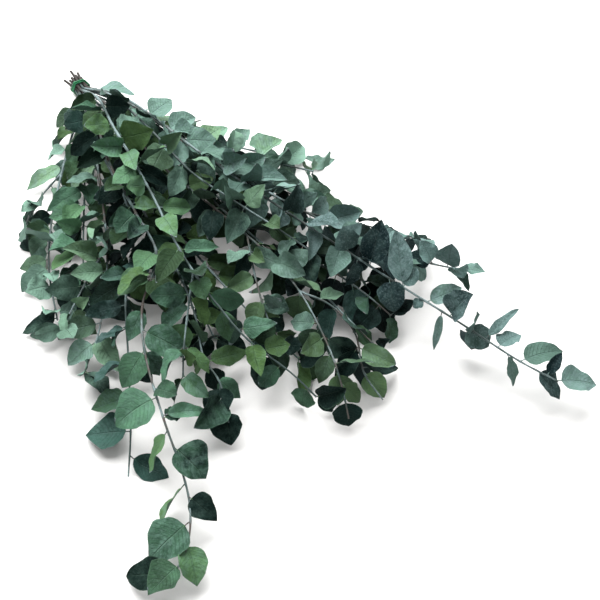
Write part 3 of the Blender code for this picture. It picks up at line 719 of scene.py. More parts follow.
@dataclass(frozen=True)
class Traced:
    """A leaf that shows by itself in the photograph.

    Attributes:
        branch: The branch that it grows on.
        base: Where its root is, near the stem, in mm.
        tip: Where its tip is, in mm.
        width: Its width in mm.
        roll: How far it is rolled about its length, in degrees.
        bend: How far it turns down from root to tip, in radians.
        room: How far from its root no other leaf grows, in mm.
    """

    branch: str
    base: Colour
    tip: Colour
    width: float
    roll: float
    bend: float
    room: float

    FOLDS = (0.15, 0.4)
    WAVES = (0.4, 1.6)
    POINTS = (0.65, 0.85)

    def leaf(self, base: Vector, rng: random.Random, slack: float) -> Leaf:
        """The leaf, moved by up to a slack.

        Args:
            base: The point of the stem at its root.
            rng: The source of its chances.
            slack: How far its tip may be from where it was traced, in mm.

        Returns:
            The leaf.
        """
        shift = Vector((rng.uniform(-1, 1), rng.uniform(-1, 1), rng.uniform(-0.5, 1)))
        chord = (Vector(self.tip) + shift * slack) * MM - base
        heading = chord.normalized()
        up = (UP - heading * heading.z).normalized()
        roll = math.radians(self.roll + rng.uniform(-4, 4) * slack)
        up.rotate(Matrix.Rotation(roll, 3, chord))
        half_turn = self.bend / 2
        along = heading * math.cos(half_turn) + up * math.sin(half_turn)
        up = up * math.cos(half_turn) - heading * math.sin(half_turn)
        length = chord.length * (1 + half_turn**2 / 6)
        return Leaf(base, along, up, length, self.width * MM, self.bend, rng.uniform(*self.FOLDS),
                    rng.uniform(*self.WAVES) * MM, rng.uniform(0, math.tau),
                    rng.uniform(*self.POINTS))


def traced(branch: str, room: float, *rows: tuple[float, ...]) -> list[Traced]:
    """Traced leaves of one branch, from rows of root, tip, width, roll and bend."""
    return [Traced(branch, row[:3], row[3:6], *row[6:], room) for row in rows]


def spline_point(points: list[Vector], knots: list[float], t: float) -> Vector:
    """A point on the spline through four points.

    Args:
        points: The four points.
        knots: The spline's measure at each of them.
        t: The measure of the point, between the second and the third.

    Returns:
        The point.
    """
    layer = list(points)
    for reach in (1, 2, 3):
        spans = [(knots[1], knots[2])] if reach == 3 else list(zip(knots, knots[reach:]))
        layer = [
            a.lerp(b, (t - start) / (end - start))
            for a, b, (start, end) in zip(layer, layer[1:], spans)
        ]
    return layer[0]


def smooth_route(points: list[Vector], step: float) -> list[Vector]:
    """A smooth way through some points.

    Args:
        points: The points that it goes through.
        step: About how far apart its own points are.

    Returns:
        Its points.
    """
    ends = [2 * points[0] - points[1], *points, 2 * points[-1] - points[-2]]
    smooth = []
    for four in zip(ends, ends[1:], ends[2:], ends[3:]):
        knots = [0.0]
        for a, b in zip(four, four[1:]):
            knots.append(knots[-1] + (b - a).length ** 0.5)
        pieces = max(1, round((four[2] - four[1]).length / step))
        for i in range(pieces):
            smooth.append(spline_point(four, knots, knots[1] + (knots[2] - knots[1]) * i / pieces))
    return [*smooth, points[-1].copy()]


def nearest_on(points: list[Vector], spot: Vector) -> Vector:
    """The point of a centreline that is nearest to a spot.

    Args:
        points: The centreline's points.
        spot: The spot.

    Returns:
        The nearest point.
    """
    best = points[0]
    for a, b in zip(points, points[1:]):
        part = (spot - a).dot(b - a) / (b - a).length_squared
        near = a.lerp(b, min(max(part, 0.0), FARTHEST_ON_SPAN))
        if (near - spot).length < (best - spot).length:
            best = near
    return best


def curve_tube(
    points: list[Vector], radii: list[float], bevel: int, closed: bool = False
) -> bpy.types.Object:
    """A tube through some points, made from a curve.

    Args:
        points: The points of its centreline.
        radii: Its radius at each of them.
        bevel: How finely it is rounded.
        closed: Whether its ends are joined.

    Returns:
        The tube, as a mesh object.
    """
    curve = bpy.data.curves.new("tube", "CURVE")
    curve.dimensions = "3D"
    curve.bevel_depth = radii[0]
    curve.bevel_resolution = bevel
    curve.use_fill_caps = not closed
    spline = curve.splines.new("POLY")
    spline.points.add(len(points) - 1)
    for point, place, radius in zip(spline.points, points, radii):
        point.co = (*place, 1)
        point.radius = radius / radii[0]
    spline.use_cyclic_u = closed
    guide = add_object("tube_curve", curve)
    shown = guide.evaluated_get(bpy.context.evaluated_depsgraph_get())
    bm = bmesh.new()
    bm.from_mesh(bpy.data.meshes.new_from_object(shown))
    bpy.data.objects.remove(guide)
    bmesh.ops.remove_doubles(bm, verts=bm.verts, dist=SAME_PLACE)
    bmesh.ops.recalc_face_normals(bm, faces=bm.faces)
    return mesh_object("tube", bm)


def sweep(
    bm: BMesh, points: list[Vector], radii: Sequence[float], sides: int
) -> list[list[BMVert]]:
    """Adds a round tube to a mesh, ring by ring.

    Args:
        bm: The mesh that it is added to.
        points: The points of its centreline.
        radii: Its radius at each of them.
        sides: How many sides it has.

    Returns:
        The vertices of each ring.
    """
    heading = (points[1] - points[0]).normalized()
    start = Matrix.Translation(points[0]) @ heading.to_track_quat("Z", "Y").to_matrix().to_4x4()
    made = bmesh.ops.create_circle(bm, cap_ends=True, segments=sides, radius=radii[0], matrix=start)
    ring = made["verts"]
    rings = [ring]
    edges = list({edge for vert in ring for edge in vert.link_edges})
    for i in range(1, len(points)):
        after = points[min(i + 1, len(points) - 1)] - points[i - 1]
        turn = heading.rotation_difference(after.normalized())
        heading = after.normalized()
        made = bmesh.ops.extrude_edge_only(bm, edges=edges)["geom"]
        ring = [item for item in made if isinstance(item, BMVert)]
        edges = [item for item in made if isinstance(item, BMEdge)]
        move = Matrix.Translation(points[i]) @ turn.to_matrix().to_4x4()
        move = move @ Matrix.Scale(radii[i] / radii[i - 1], 4) @ Matrix.Translation(-points[i - 1])
        bmesh.ops.transform(bm, matrix=move, verts=ring)
        rings.append(ring)
    bmesh.ops.edgeloop_fill(bm, edges=edges)
    return rings


@dataclass
class Shoot:
    """A stem or a twig.

    Attributes:
        branch: The branch that it belongs to.
        habit: How its leaves stand.
        points: The centreline of its solid.
        radii: Its radius at each point.
        start: How far up it the band is.
        route: The smooth centreline that it is dressed along.
    """

    branch: str
    habit: Habit
    points: list[Vector]
    radii: list[float]
    start: float
    route: list[Vector]

    PAIR_STEP = 0.5 * MM
    BARE_TIP = 8 * MM
    STEM_TIP_LEAVES = 3
    TWIG_TIP_LEAVES = 2
    SIDES = 8
    SWELLING = 0.32
    SWELLING_REACH = 3.2 * MM
    STRAIGHT = 44 * MM

    # A grown leaf: its sizes after each eight tries, and the ranges of its chances
    SIZES = (1.0, 0.88, 0.74)
    ANGLES = (36, 78)
    LENGTHS = (0.78, 1.16)
    BENDS = (-0.25, 1.15)
    DROOPS = (-0.3, 0.12)
    WIDTHS = (0.52, 0.84)
    FOLDS = (0.05, 0.75)
    WAVES = (0.4, 2.8)
    POINTS = (0.55, 0.9)

    @staticmethod
    def distances(points: list[Vector]) -> list[float]:
        """How far each point lies along the points from the first.

        Args:
            points: The points.

        Returns:
            The distances.
        """
        along = [0.0]
        for a, b in zip(points, points[1:]):
            along.append(along[-1] + (b - a).length)
        return along

    @classmethod
    def taper(cls, points: list[Vector], root: float, tip: float, straight: float) -> list[float]:
        """A radius at each point.

        Args:
            points: The points.
            root: The radius at the first, and as far as the straight length.
            tip: The radius at the last.
            straight: The length that doesn't thin.

        Returns:
            The radii.
        """
        along = cls.distances(points)
        rest = along[-1] - straight
        return [root + (tip - root) * max(0.0, distance - straight) / rest for distance in along]

    def at(self, distance: float) -> tuple[Vector, Vector, float]:
        """The centreline at a distance from the shoot's root.

        Args:
            distance: The distance.

        Returns:
            The point, the heading and the radius there.
        """
        along = self.distances(self.points)
        radius = self.radii[-1] + (self.radii[0] - self.radii[-1]) * (1 - distance / along[-1])
        last = len(self.points) - 2
        i = next((i for i in range(last) if distance <= along[i + 1]), last)
        part = (distance - along[i]) / (along[i + 1] - along[i])
        heading = (self.points[i + 1] - self.points[i]).normalized()
        return self.points[i].lerp(self.points[i + 1], part), heading, radius

    def nodes(self, rng: random.Random) -> list[tuple[float, float]]:
        """Where the leaves stand.

        Args:
            rng: The source of their chances.

        Returns:
            Each leaf's distance along the shoot and its turn round it.
        """
        end = self.distances(self.points)[-1]
        distance = self.start + self.habit.first * MM * rng.uniform(0.9, 1.1)
        turn = rng.uniform(0, math.pi)
        nodes = []
        while distance < end - self.BARE_TIP:
            for half in (0, 1):
                if rng.random() < self.habit.keep:
                    nodes.append((distance + half * self.PAIR_STEP, turn + half * math.pi))
            distance += self.habit.spacing * MM * rng.uniform(0.85, 1.15)
            turn += math.pi / 2 + rng.uniform(-0.3, 0.3)
        at_tip = self.STEM_TIP_LEAVES if self.start > 0 else self.TWIG_TIP_LEAVES
        for leaf in range(at_tip):
            nodes.append((end - (1 + leaf) * MM, turn + leaf * math.tau / at_tip))
        return nodes

    def grown_leaf(self, distance: float, turn: float, attempt: int, rng: random.Random) -> Leaf:
        """A try at a leaf that grows out of the shoot, ever looser and at last smaller.

        Args:
            distance: How far along the shoot it stands.
            turn: The way round the shoot that it grows.
            attempt: Which try it is.
            rng: The source of its chances.

        Returns:
            The leaf.
        """
        place, heading, radius = self.at(distance)
        loose = 0.15 + 0.09 * attempt
        size = self.SIZES[min(attempt // 8, 2)]
        turn += rng.uniform(-loose, loose)
        side = heading.cross(UP).normalized()
        above = side.cross(heading) * math.sin(turn)
        out = (side * math.cos(turn) + above * (1.15 - self.habit.lie)).normalized()
        angle = math.radians(rng.uniform(*self.ANGLES))
        along = heading * math.cos(angle) + out * math.sin(angle)
        length = Leaf.USUAL_LENGTH * self.habit.size * size * rng.uniform(*self.LENGTHS)
        bend = rng.uniform(*self.BENDS)
        lowest = (2 * Leaf.THICKNESS - place.z) / length + 0.35 * bend
        highest = max((Leaf.HIGHEST - place.z) / length, lowest)
        along.z = min(max(along.z + rng.uniform(*self.DROOPS), lowest), highest)
        along.normalize()
        facing = heading * (1 - self.habit.lie) * rng.uniform(0.2, 1.0)
        facing += UP * (0.35 + self.habit.lie)
        facing += Vector((rng.uniform(-1, 1), rng.uniform(-1, 1), 0))
        up = (facing - along * facing.dot(along)).normalized()
        slant = max(along.cross(heading).length, 0.5)
        base = place + along * max(0.0, 0.87 * radius - 0.5 * MM) / slant
        width = length * rng.uniform(*self.WIDTHS)
        return Leaf(base, along, up, length, width, bend, rng.uniform(*self.FOLDS),
                    rng.uniform(*self.WAVES) * MM, rng.uniform(0, math.tau),
                    rng.uniform(*self.POINTS))

    def dress(self, bm: BMesh, leaves: list[Leaf], blush: float) -> None:
        """Adds the shoot's tube to a branch's mesh, swollen where its leaves grow.

        Args:
            bm: The branch's mesh.
            leaves: The branch's leaves.
            blush: How pinkish the shoot is, from 0 to 1.
        """
        along = self.distances(self.route)
        straight = self.STRAIGHT if self.start else 0.0
        radii = self.taper(self.route, self.radii[0], self.radii[-1], straight)
        for i, spot in enumerate(self.route):
            near = min(((leaf.base - spot).length for leaf in leaves), default=1.0)
            radii[i] *= 1 + self.SWELLING * math.exp(-((near / self.SWELLING_REACH) ** 2))
        first = len(bm.verts)
        rings = sweep(bm, self.route, radii, self.SIDES)
        shade = bm.verts.layers.float_color[TINT]
        for distance, ring in zip(along, rings):
            growth = distance / along[-1] if self.start else 0.6 + 0.4 * distance / along[-1]
            for vert in ring:
                vert[shade] = (growth, blush, 0.0, 1.0)
        bm.verts.ensure_lookup_table()
        faces = {face for vert in bm.verts[first:] for face in vert.link_faces}
        for face in faces:
            face.material_index = Skin.BARK.value
            face.smooth = len(face.verts) == 4
        if self.start:
            cut = [face for face in rings[0][0].link_faces if len(face.verts) == self.SIDES]
            bmesh.ops.inset_region(bm, faces=cut, thickness=0.3 * MM, depth=-0.1 * MM)
            for face in cut:
                face.material_index = Skin.CUT.value


@dataclass(frozen=True)
class Placed:
    """A solid that later leaves keep clear of.

    Attributes:
        branch: The branch that it belongs to.
        whole: Its surface.
        outer: Its surface apart from the root.
        low: The lowest corner of its box.
        high: The highest corner of its box.
    """

    branch: str
    whole: BVHTree
    outer: BVHTree
    low: tuple[float, ...]
    high: tuple[float, ...]

    @classmethod
    def from_points(
        cls, branch: str, whole: BVHTree, outer: BVHTree, points: list[Vector]
    ) -> "Placed":
        """A solid with the box of its points.

        Args:
            branch: The branch that it belongs to.
            whole: Its surface.
            outer: Its surface apart from the root.
            points: Its points.

        Returns:
            The solid.
        """
        low = tuple(min(point[i] for point in points) for i in range(3))
        high = tuple(max(point[i] for point in points) for i in range(3))
        return cls(branch, whole, outer, low, high)

    @classmethod
    def from_leaf(cls, branch: str, leaf: Leaf, clearance: float) -> "Placed":
        """A leaf that is thickened by a clearance.

        Args:
            branch: The branch that it grows on.
            leaf: The leaf.
            clearance: The clearance that it must keep.

        Returns:
            The solid.
        """
        thickness = Leaf.THICKNESS + 2 * clearance
        whole, points = leaf.solid(Leaf.WHOLE_ROWS, thickness)
        outer = leaf.solid(Leaf.OUTER_ROWS, thickness)[0]
        return cls.from_points(branch, whole, outer, points)

    def meets(self, other: "Placed") -> bool:
        """Whether two solids meet, apart from a root in its own branch.

        Args:
            other: The other solid.

        Returns:
            True if they meet.
        """
        if any(self.low[i] > other.high[i] or self.high[i] < other.low[i] for i in range(3)):
            return False
        if other.branch == self.branch:
            return bool(self.outer.overlap(other.outer))
        return bool(self.whole.overlap(other.whole))


@dataclass
class Branch:
    """One branch: its stem, twigs and leaves.

    Attributes:
        name: The node that it replaces.
        row: Its row in the pack inside the band.
        place: Its place in the row.
        cut_end: How far its cut end stands out behind the band, in mm.
        habit: How its leaves stand.
        foliage: Its kind of foliage.
        path: Its way from the band, in mm.
    """

    name: str
    row: int
    place: int
    cut_end: float
    habit: Habit
    foliage: Foliage
    path: Route

    PACK_ROWS = (4, 5, 4, 3)
    PACK_PITCH = 4.1 * MM
    PACK_HALF_LENGTH = 11 * MM
    PACK_SPREAD = 22
    STEM_RADIUS = 1.7 * MM
    TIP_RADIUS = 0.8 * MM
    SOLID_STEP = 45 * MM
    FINE_STEP = 6 * MM

    # The chances of a branch's look, and of a leaf's
    BLUSHES = (0.0, 0.7)
    TONES = (0.4, 0.6)
    WARMTHS = (-0.7, 0.8)
    PALER = (-0.15, 0.5)
    DARK_SHARE = 0.22
    DARK_TONES = (-0.05, 0.2)

    # How its place changes a leaf's tone, with painted light at the sides of the fan and painted
    # shade under other leaves
    PALE_REACH = 420 * MM
    PALE_AT_BAND = 0.3
    # Painted light: how much paler leaves at the sides of the fan are
    PAINTED_LIGHT_AT_SIDE = 0.75
    DARK_AT_TIPS = 0.35
    # Painted shade: how much darker a leaf is where other leaves lie above it
    PAINTED_SHADE_UNDER_LEAVES = 0.95
    MANY_ABOVE = 4

    STALK_RADII = (0.75 * MM, 0.6 * MM, 0.5 * MM, 0.3 * MM)
    STALK_SIDES = 6

    @classmethod
    def pack_place(cls, row: int, place: int) -> tuple[float, float]:
        """Where a stem stands in the pack inside the band.

        Args:
            row: Its row.
            place: Its place in the row.

        Returns:
            How far across the bunch it is, and how far up.
        """
        across = (place - (cls.PACK_ROWS[row] - 1) / 2) * cls.PACK_PITCH
        lowest = 2 * RubberBand.RADIUS + RubberBand.GAP + cls.STEM_RADIUS
        return across, lowest + row * cls.PACK_PITCH * math.sin(math.radians(60))

    def centreline(self, step: float) -> list[Vector]:
        """The branch's centreline from its cut end, through the band, to its tip.

        Args:
            step: About how far apart its points are.

        Returns:
            Its points.
        """
        y, z = self.pack_place(self.row, self.place)
        middle = self.pack_place(0, 0)[1] + 1.5 * self.PACK_PITCH
        splay = 1 + (self.cut_end * MM - self.PACK_HALF_LENGTH) * self.PACK_SPREAD
        cut_height = max(middle + (z - middle) * splay, self.STEM_RADIUS + 0.4 * MM)
        start = [
            Vector((-self.cut_end * MM, y * splay, cut_height)),
            Vector((-self.PACK_HALF_LENGTH, y, z)),
            Vector((self.PACK_HALF_LENGTH, y, z)),
        ]
        way = [start[2], *(Vector(point) * MM for point in self.path)]
        return start[:2] + smooth_route(way, step)

    def stem(self) -> Shoot:
        """Lays out the branch's main stem.

        Returns:
            The stem.
        """
        points = self.centreline(self.SOLID_STEP)
        radii = Shoot.taper(points, self.STEM_RADIUS, self.TIP_RADIUS, self.PACK_HALF_LENGTH * 4)
        route = self.centreline(self.FINE_STEP)
        return Shoot(self.name, self.habit, points, radii, self.cut_end * MM, route)

    def build(
        self, shoots: list[Shoot], leaves: list[Leaf], middles: list[Vector], number: int
    ) -> bpy.types.Object:
        """Builds and dresses the branch.

        Args:
            shoots: Its stem and twigs.
            leaves: Its leaves.
            middles: The middles of all leaves of the bunch.
            number: Its number, which its chances come from.

        Returns:
            The piece.
        """
        rng = random.Random(SEED * 31 + number)
        bm = bmesh.new()
        bm.loops.layers.uv.new(LEAF_MAP)
        bm.verts.layers.float_color.new(TINT)
        blush = rng.uniform(*self.BLUSHES)
        for shoot in shoots:
            shoot.dress(bm, leaves, blush)
        tone = rng.uniform(*self.TONES)
        for leaf in leaves:
            self._stalk(bm, leaf, shoots, blush)
            leaf.dress(bm, self._tint(leaf, tone, middles, rng))
        bmesh.ops.translate(bm, vec=MIDDLE_TO_BAND, verts=bm.verts)
        bmesh.ops.recalc_face_normals(bm, faces=bm.faces)
        piece = mesh_object(self.name + "_dressed", bm)
        finish = self.foliage.value
        for skin in (finish.skin(Skin.TOP), finish.skin(Skin.UNDER), BARK.skin(), CUT_WOOD.skin()):
            piece.data.materials.append(skin)
        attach(piece, "root")
        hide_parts(self.name)
        return piece

    def _tint(self, leaf: Leaf, tone: float, middles: list[Vector], rng: random.Random) -> Colour:
        """The look of a leaf, by chance and by its place in the bunch, with painted light and shade
        in its tone.

        Args:
            leaf: The leaf.
            tone: The usual tone on this branch.
            middles: The middles of all leaves of the bunch.
            rng: The source of its chances.

        Returns:
            Its tone, warmth and bloom.
        """
        warmth = max(0.0, rng.uniform(*self.WARMTHS))
        near_band = max(0.0, 1 - leaf.base.x / self.PALE_REACH)
        if self.foliage is Foliage.DUSTY:
            warmth = max(warmth, min(1.0, 2.5 * near_band))
        paler = tone + self.PALE_AT_BAND * near_band + rng.uniform(*self.PALER)
        if rng.random() < self.DARK_SHARE:
            paler = rng.uniform(*self.DARK_TONES)
        # Painted light at the sides of the fan, darker towards the tips, and painted shade where
        # other leaves lie above
        paler += self.painted_rim_light(leaf.base) - self.PAINTED_SHADE_UNDER_LEAVES * self.depth(leaf, middles)
        return paler, warmth, rng.uniform(0.0, 1.0) ** 1.5

    @classmethod
    def painted_rim_light(cls, base: Vector) -> float:
        """Painted light for a leaf's place: paler at the sides of the fan, darker towards its tips.

        Args:
            base: The leaf's root.

        Returns:
            What its tone changes by.
        """
        aside = min(1.0, abs(base.y) / (0.4 * base.x + 20 * MM))
        ahead = min(max((base.x - 450 * MM) / (150 * MM), 0.0), 1.0)
        return cls.PAINTED_LIGHT_AT_SIDE * (aside - 0.45) - cls.DARK_AT_TIPS * ahead

    @classmethod
    def depth(cls, leaf: Leaf, middles: list[Vector]) -> float:
        """How deep a leaf lies in the bunch, which sets how much painted shade it gets.

        Args:
            leaf: The leaf.
            middles: The middles of all leaves of the bunch.

        Returns:
            From 0 where nothing lies over it to 1 where several leaves do.
        """
        spot = leaf.middle()
        higher = (middle for middle in middles if middle.z > spot.z + 6 * MM)
        above = [middle for middle in higher if (middle - spot).xy.length < 26 * MM]
        return min(1.0, len(above) / cls.MANY_ABOVE)

    def _stalk(self, bm: BMesh, leaf: Leaf, shoots: list[Shoot], blush: float) -> None:
        """Adds the stalk that joins a leaf to its stem.

        Args:
            bm: The branch's mesh.
            leaf: The leaf.
            shoots: The branch's stem and twigs.
            blush: How pinkish the shoots are.
        """
        roots = [nearest_on(shoot.route, leaf.base) for shoot in shoots]
        root = min(roots, key=lambda spot: (spot - leaf.base).length)
        places = ((0.03, 0), (leaf.stalk, 0), (0.2, -0.2 * MM))
        way = [root, *(leaf.fine_point(u, 0, lift) for u, lift in places)]
        first = len(bm.verts)
        sweep(bm, way, self.STALK_RADII, self.STALK_SIDES)
        shade = bm.verts.layers.float_color[TINT]
        bm.verts.ensure_lookup_table()
        for vert in bm.verts[first:]:
            vert[shade] = (0.8, blush, 0.0, 1.0)
            for face in vert.link_faces:
                face.material_index = Skin.BARK.value
                face.smooth = True


@dataclass(frozen=True)
class Twig:
    """A side twig.

    Attributes:
        branch: The branch that it grows on.
        along: Where along +X it leaves the branch, in mm.
        path: Its way from there, in mm from the band.
    """

    branch: str
    along: float
    path: Route

    RADIUS = 1.1 * MM

    def shoot(self, parent: Shoot) -> Shoot:
        """The twig as a shoot.

        Args:
            parent: The stem that it grows from.

        Returns:
            The shoot.
        """
        root, fine_root = (self._root(points) for points in (parent.points, parent.route))
        way = [Vector(point) * MM for point in self.path]
        points = smooth_route([root, *way], Branch.SOLID_STEP)
        radii = Shoot.taper(points, self.RADIUS, Branch.TIP_RADIUS, 0)
        route = smooth_route([fine_root, *way], Branch.FINE_STEP)
        return Shoot(self.branch, SPRIG, points, radii, 0, route)

    def _root(self, points: list[Vector]) -> Vector:
        """The point of a centreline where the twig leaves it.

        Args:
            points: The centreline's points.

        Returns:
            The point.
        """
        ahead = self.along * MM
        spans = [(a, b) for a, b in zip(points, points[1:]) if a.x <= ahead < b.x]
        a, b = spans[-1]
        return a.lerp(b, (ahead - a.x) / (b.x - a.x))


@dataclass
class RubberBand:
    """The rubber band, wound round the pack of stems.

    Attributes:
        turns: How many times it goes round.
        pitch: The distance from turn to turn.
        smoothness: How many points each turn has.
    """

    turns: int = 3
    pitch: float = 1.9 * MM
    smoothness: int = 64

    RADIUS = 0.8 * MM
    GAP = 0.32 * MM
    ROUNDING = 3
    CROSSING_START = 0.22
    CROSSING_LENGTH = 0.56

    def points(self) -> list[Vector]:
        """Winds the band: level turns round the pack, the last of which crosses back.

        Returns:
            The points of its closed centreline.
        """
        stems = [
            Vector((0, *Branch.pack_place(row, place)))
            for row, count in enumerate(Branch.PACK_ROWS)
            for place in range(count)
        ]
        centre = sum(stems, Vector()) / len(stems)
        reach = Branch.STEM_RADIUS + self.GAP + self.RADIUS
        last = (self.turns - 1) / 2
        points = []
        for i in range(self.turns * self.smoothness):
            turn = i / self.smoothness
            outward = Vector((0, math.sin(math.tau * turn), -math.cos(math.tau * turn)))
            corner = max(stems, key=lambda stem: (stem - centre).dot(outward))
            back = max(0.0, turn - (self.turns - 1))
            lane = min(turn, self.turns - 1) - last
            over = min(max((back - self.CROSSING_START) / self.CROSSING_LENGTH, 0.0), 1.0)
            crossing = 0.5 - 0.5 * math.cos(math.pi * over)
            lift = math.sin(math.pi * back) ** 2 * (2 * self.RADIUS + self.GAP)
            spot = corner + outward * (reach + lift)
            spot.x = (lane + crossing * (-last - lane)) * self.pitch
            points.append(spot)
        return points

    def build(self) -> bpy.types.Object:
        """Builds and dresses the band.

        Returns:
            The piece.
        """
        points = self.points()
        piece = curve_tube(points, [self.RADIUS] * len(points), self.ROUNDING, closed=True)
        piece.name = "rubber_band_dressed"
        piece.data.transform(Matrix.Translation(MIDDLE_TO_BAND))
        piece.data.shade_smooth()
        piece.data.materials.append(RUBBER.skin())
        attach(piece, "root")
        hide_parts("rubber_band")
        return piece


PALE, FRESH, DEEP, DUSTY = Foliage.PALE, Foliage.FRESH, Foliage.DEEP, Foliage.DUSTY

BRANCHES = (
    Branch("left_edge_branch", 0, 0, 18, LOW, PALE, (
        (84, -44, 20), (145, -86, 19), (223, -134, 18), (285, -163, 16), (350, -182, 12))),
    Branch("low_core_branch", 0, 1, 25, UNDER, FRESH, (
        (110, -8, 18), (200, -18, 22), (300, -20, 24), (400, -14, 22), (480, -4, 18),
        (530, 6, 14))),
    Branch("low_right_core_branch", 0, 2, 16, UNDER, DEEP, (
        (110, 12, 18), (200, 26, 22), (300, 50, 22), (380, 74, 20), (432, 98, 18), (480, 122, 14))),
    Branch("top_edge_branch", 0, 3, 22, LOW, PALE, (
        (90, 28, 22), (145, 52, 24), (185, 76, 24), (222, 106, 23), (255, 138, 20),
        (280, 172, 16))),
    Branch("left_inner_branch", 1, 0, 27, LOW, FRESH, (
        (110, -42, 32), (200, -80, 32), (262, -110, 28), (322, -138, 22))),
    Branch("left_branch", 1, 1, 15, LOW, PALE, (
        (110, -31, 38), (204, -62, 40), (300, -98, 34), (343, -120, 28), (392, -152, 20),
        (428, -186, 13))),
    Branch("middle_branch", 1, 2, 23, MIDDLE, FRESH, (
        (110, -14, 40), (200, -32, 45), (295, -46, 46), (400, -56, 44), (449, -67, 42),
        (492, -82, 37),
        (524, -82, 32), (562, -94, 20))),
    Branch("lower_right_branch", 1, 3, 29, MIDDLE, DEEP, (
        (110, 8, 36), (230, 22, 41), (343, 36, 40), (481, 62, 38), (560, 72, 32), (584, 79, 27))),
    Branch("upper_branch", 1, 4, 20, LOW, PALE, (
        (110, 27, 38), (196, 50, 43), (258, 74, 45), (308, 94, 43), (352, 116, 39),
        (396, 146, 33))),
    Branch("bare_tip_branch", 2, 0, 17, MIDDLE, DEEP, (
        (110, -30, 54), (189, -48, 58), (270, -58, 58), (322, -74, 51), (354, -96, 46),
        (388, -117, 39),
        (451, -146, 27), (518, -178, 14), (556, -200, 6))),
    Branch("long_left_branch", 2, 1, 21, HIGH, FRESH, (
        (110, -24, 58), (222, -52, 69), (313, -62, 71), (368, -68, 67), (391, -86, 62),
        (410, -105, 58),
        (435, -120, 54), (475, -135, 50), (543, -151, 44), (593, -160, 36), (622, -168, 31),
        (650, -183, 27),
        (668, -202, 23), (674, -224, 19))),
    Branch("right_bend_branch", 2, 2, 24, MIDDLE, PALE, (
        (110, -4, 55), (250, 0, 62), (341, 18, 62), (430, 34, 58), (482, 37, 52), (554, 27, 41),
        (590, 17, 33),
        (620, 6, 21))),
    Branch("upper_right_branch", 2, 3, 26, MIDDLE, DUSTY, (
        (120, 22, 52), (257, 52, 58), (345, 84, 56), (400, 108, 53), (451, 130, 50), (481, 152, 48),
        (517, 180, 45), (530, 194, 43), (539, 205, 42))),
    Branch("crest_branch", 3, 0, 16, HIGH, FRESH, (
        (110, -14, 69), (180, -26, 82), (250, -34, 88), (319, -42, 88), (378, -50, 84),
        (443, -51, 74),
        (466, -48, 67), (504, -41, 55), (557, -18, 37), (584, -8, 24))),
    Branch("inner_right_branch", 3, 1, 28, HIGH, PALE, (
        (110, 4, 66), (200, 10, 77), (292, 16, 79), (352, 36, 74), (400, 56, 67), (442, 74, 58))),
    Branch("far_right_branch", 3, 2, 14, HIGH, DUSTY, (
        (120, 18, 62), (257, 42, 71), (360, 68, 71), (442, 94, 66), (531, 128, 55), (582, 149, 48),
        (612, 160, 45), (664, 178, 41), (700, 197, 36))),
)

TWIGS = (
    Twig("left_edge_branch", 150, ((176, -128, 18), (206, -160, 14))),
    Twig("top_edge_branch", 160, ((200, 60, 26), (236, 72, 26), (272, 92, 22))),
    Twig("left_branch", 300, ((336, -146, 24), (366, -182, 16))),
    Twig("upper_branch", 240, ((272, 106, 42), (302, 136, 38), (318, 158, 32))),
    Twig("lower_right_branch", 400, ((452, 84, 36), (500, 102, 32), (540, 112, 26))),
    Twig("right_bend_branch", 480, ((510, 56, 48), (548, 60, 42), (590, 44, 32), (620, 46, 22))),
    Twig("right_bend_branch", 390, ((446, 6, 54), (488, -6, 46), (520, -10, 38))),
    Twig("upper_right_branch", 390, ((420, 140, 46), (448, 170, 40), (466, 192, 34))),
    Twig("low_core_branch", 290, ((350, -42, 20), (410, -48, 17), (460, -54, 14))),
    Twig("crest_branch", 420, ((452, -76, 64), (486, -100, 52), (506, -112, 42))),
)

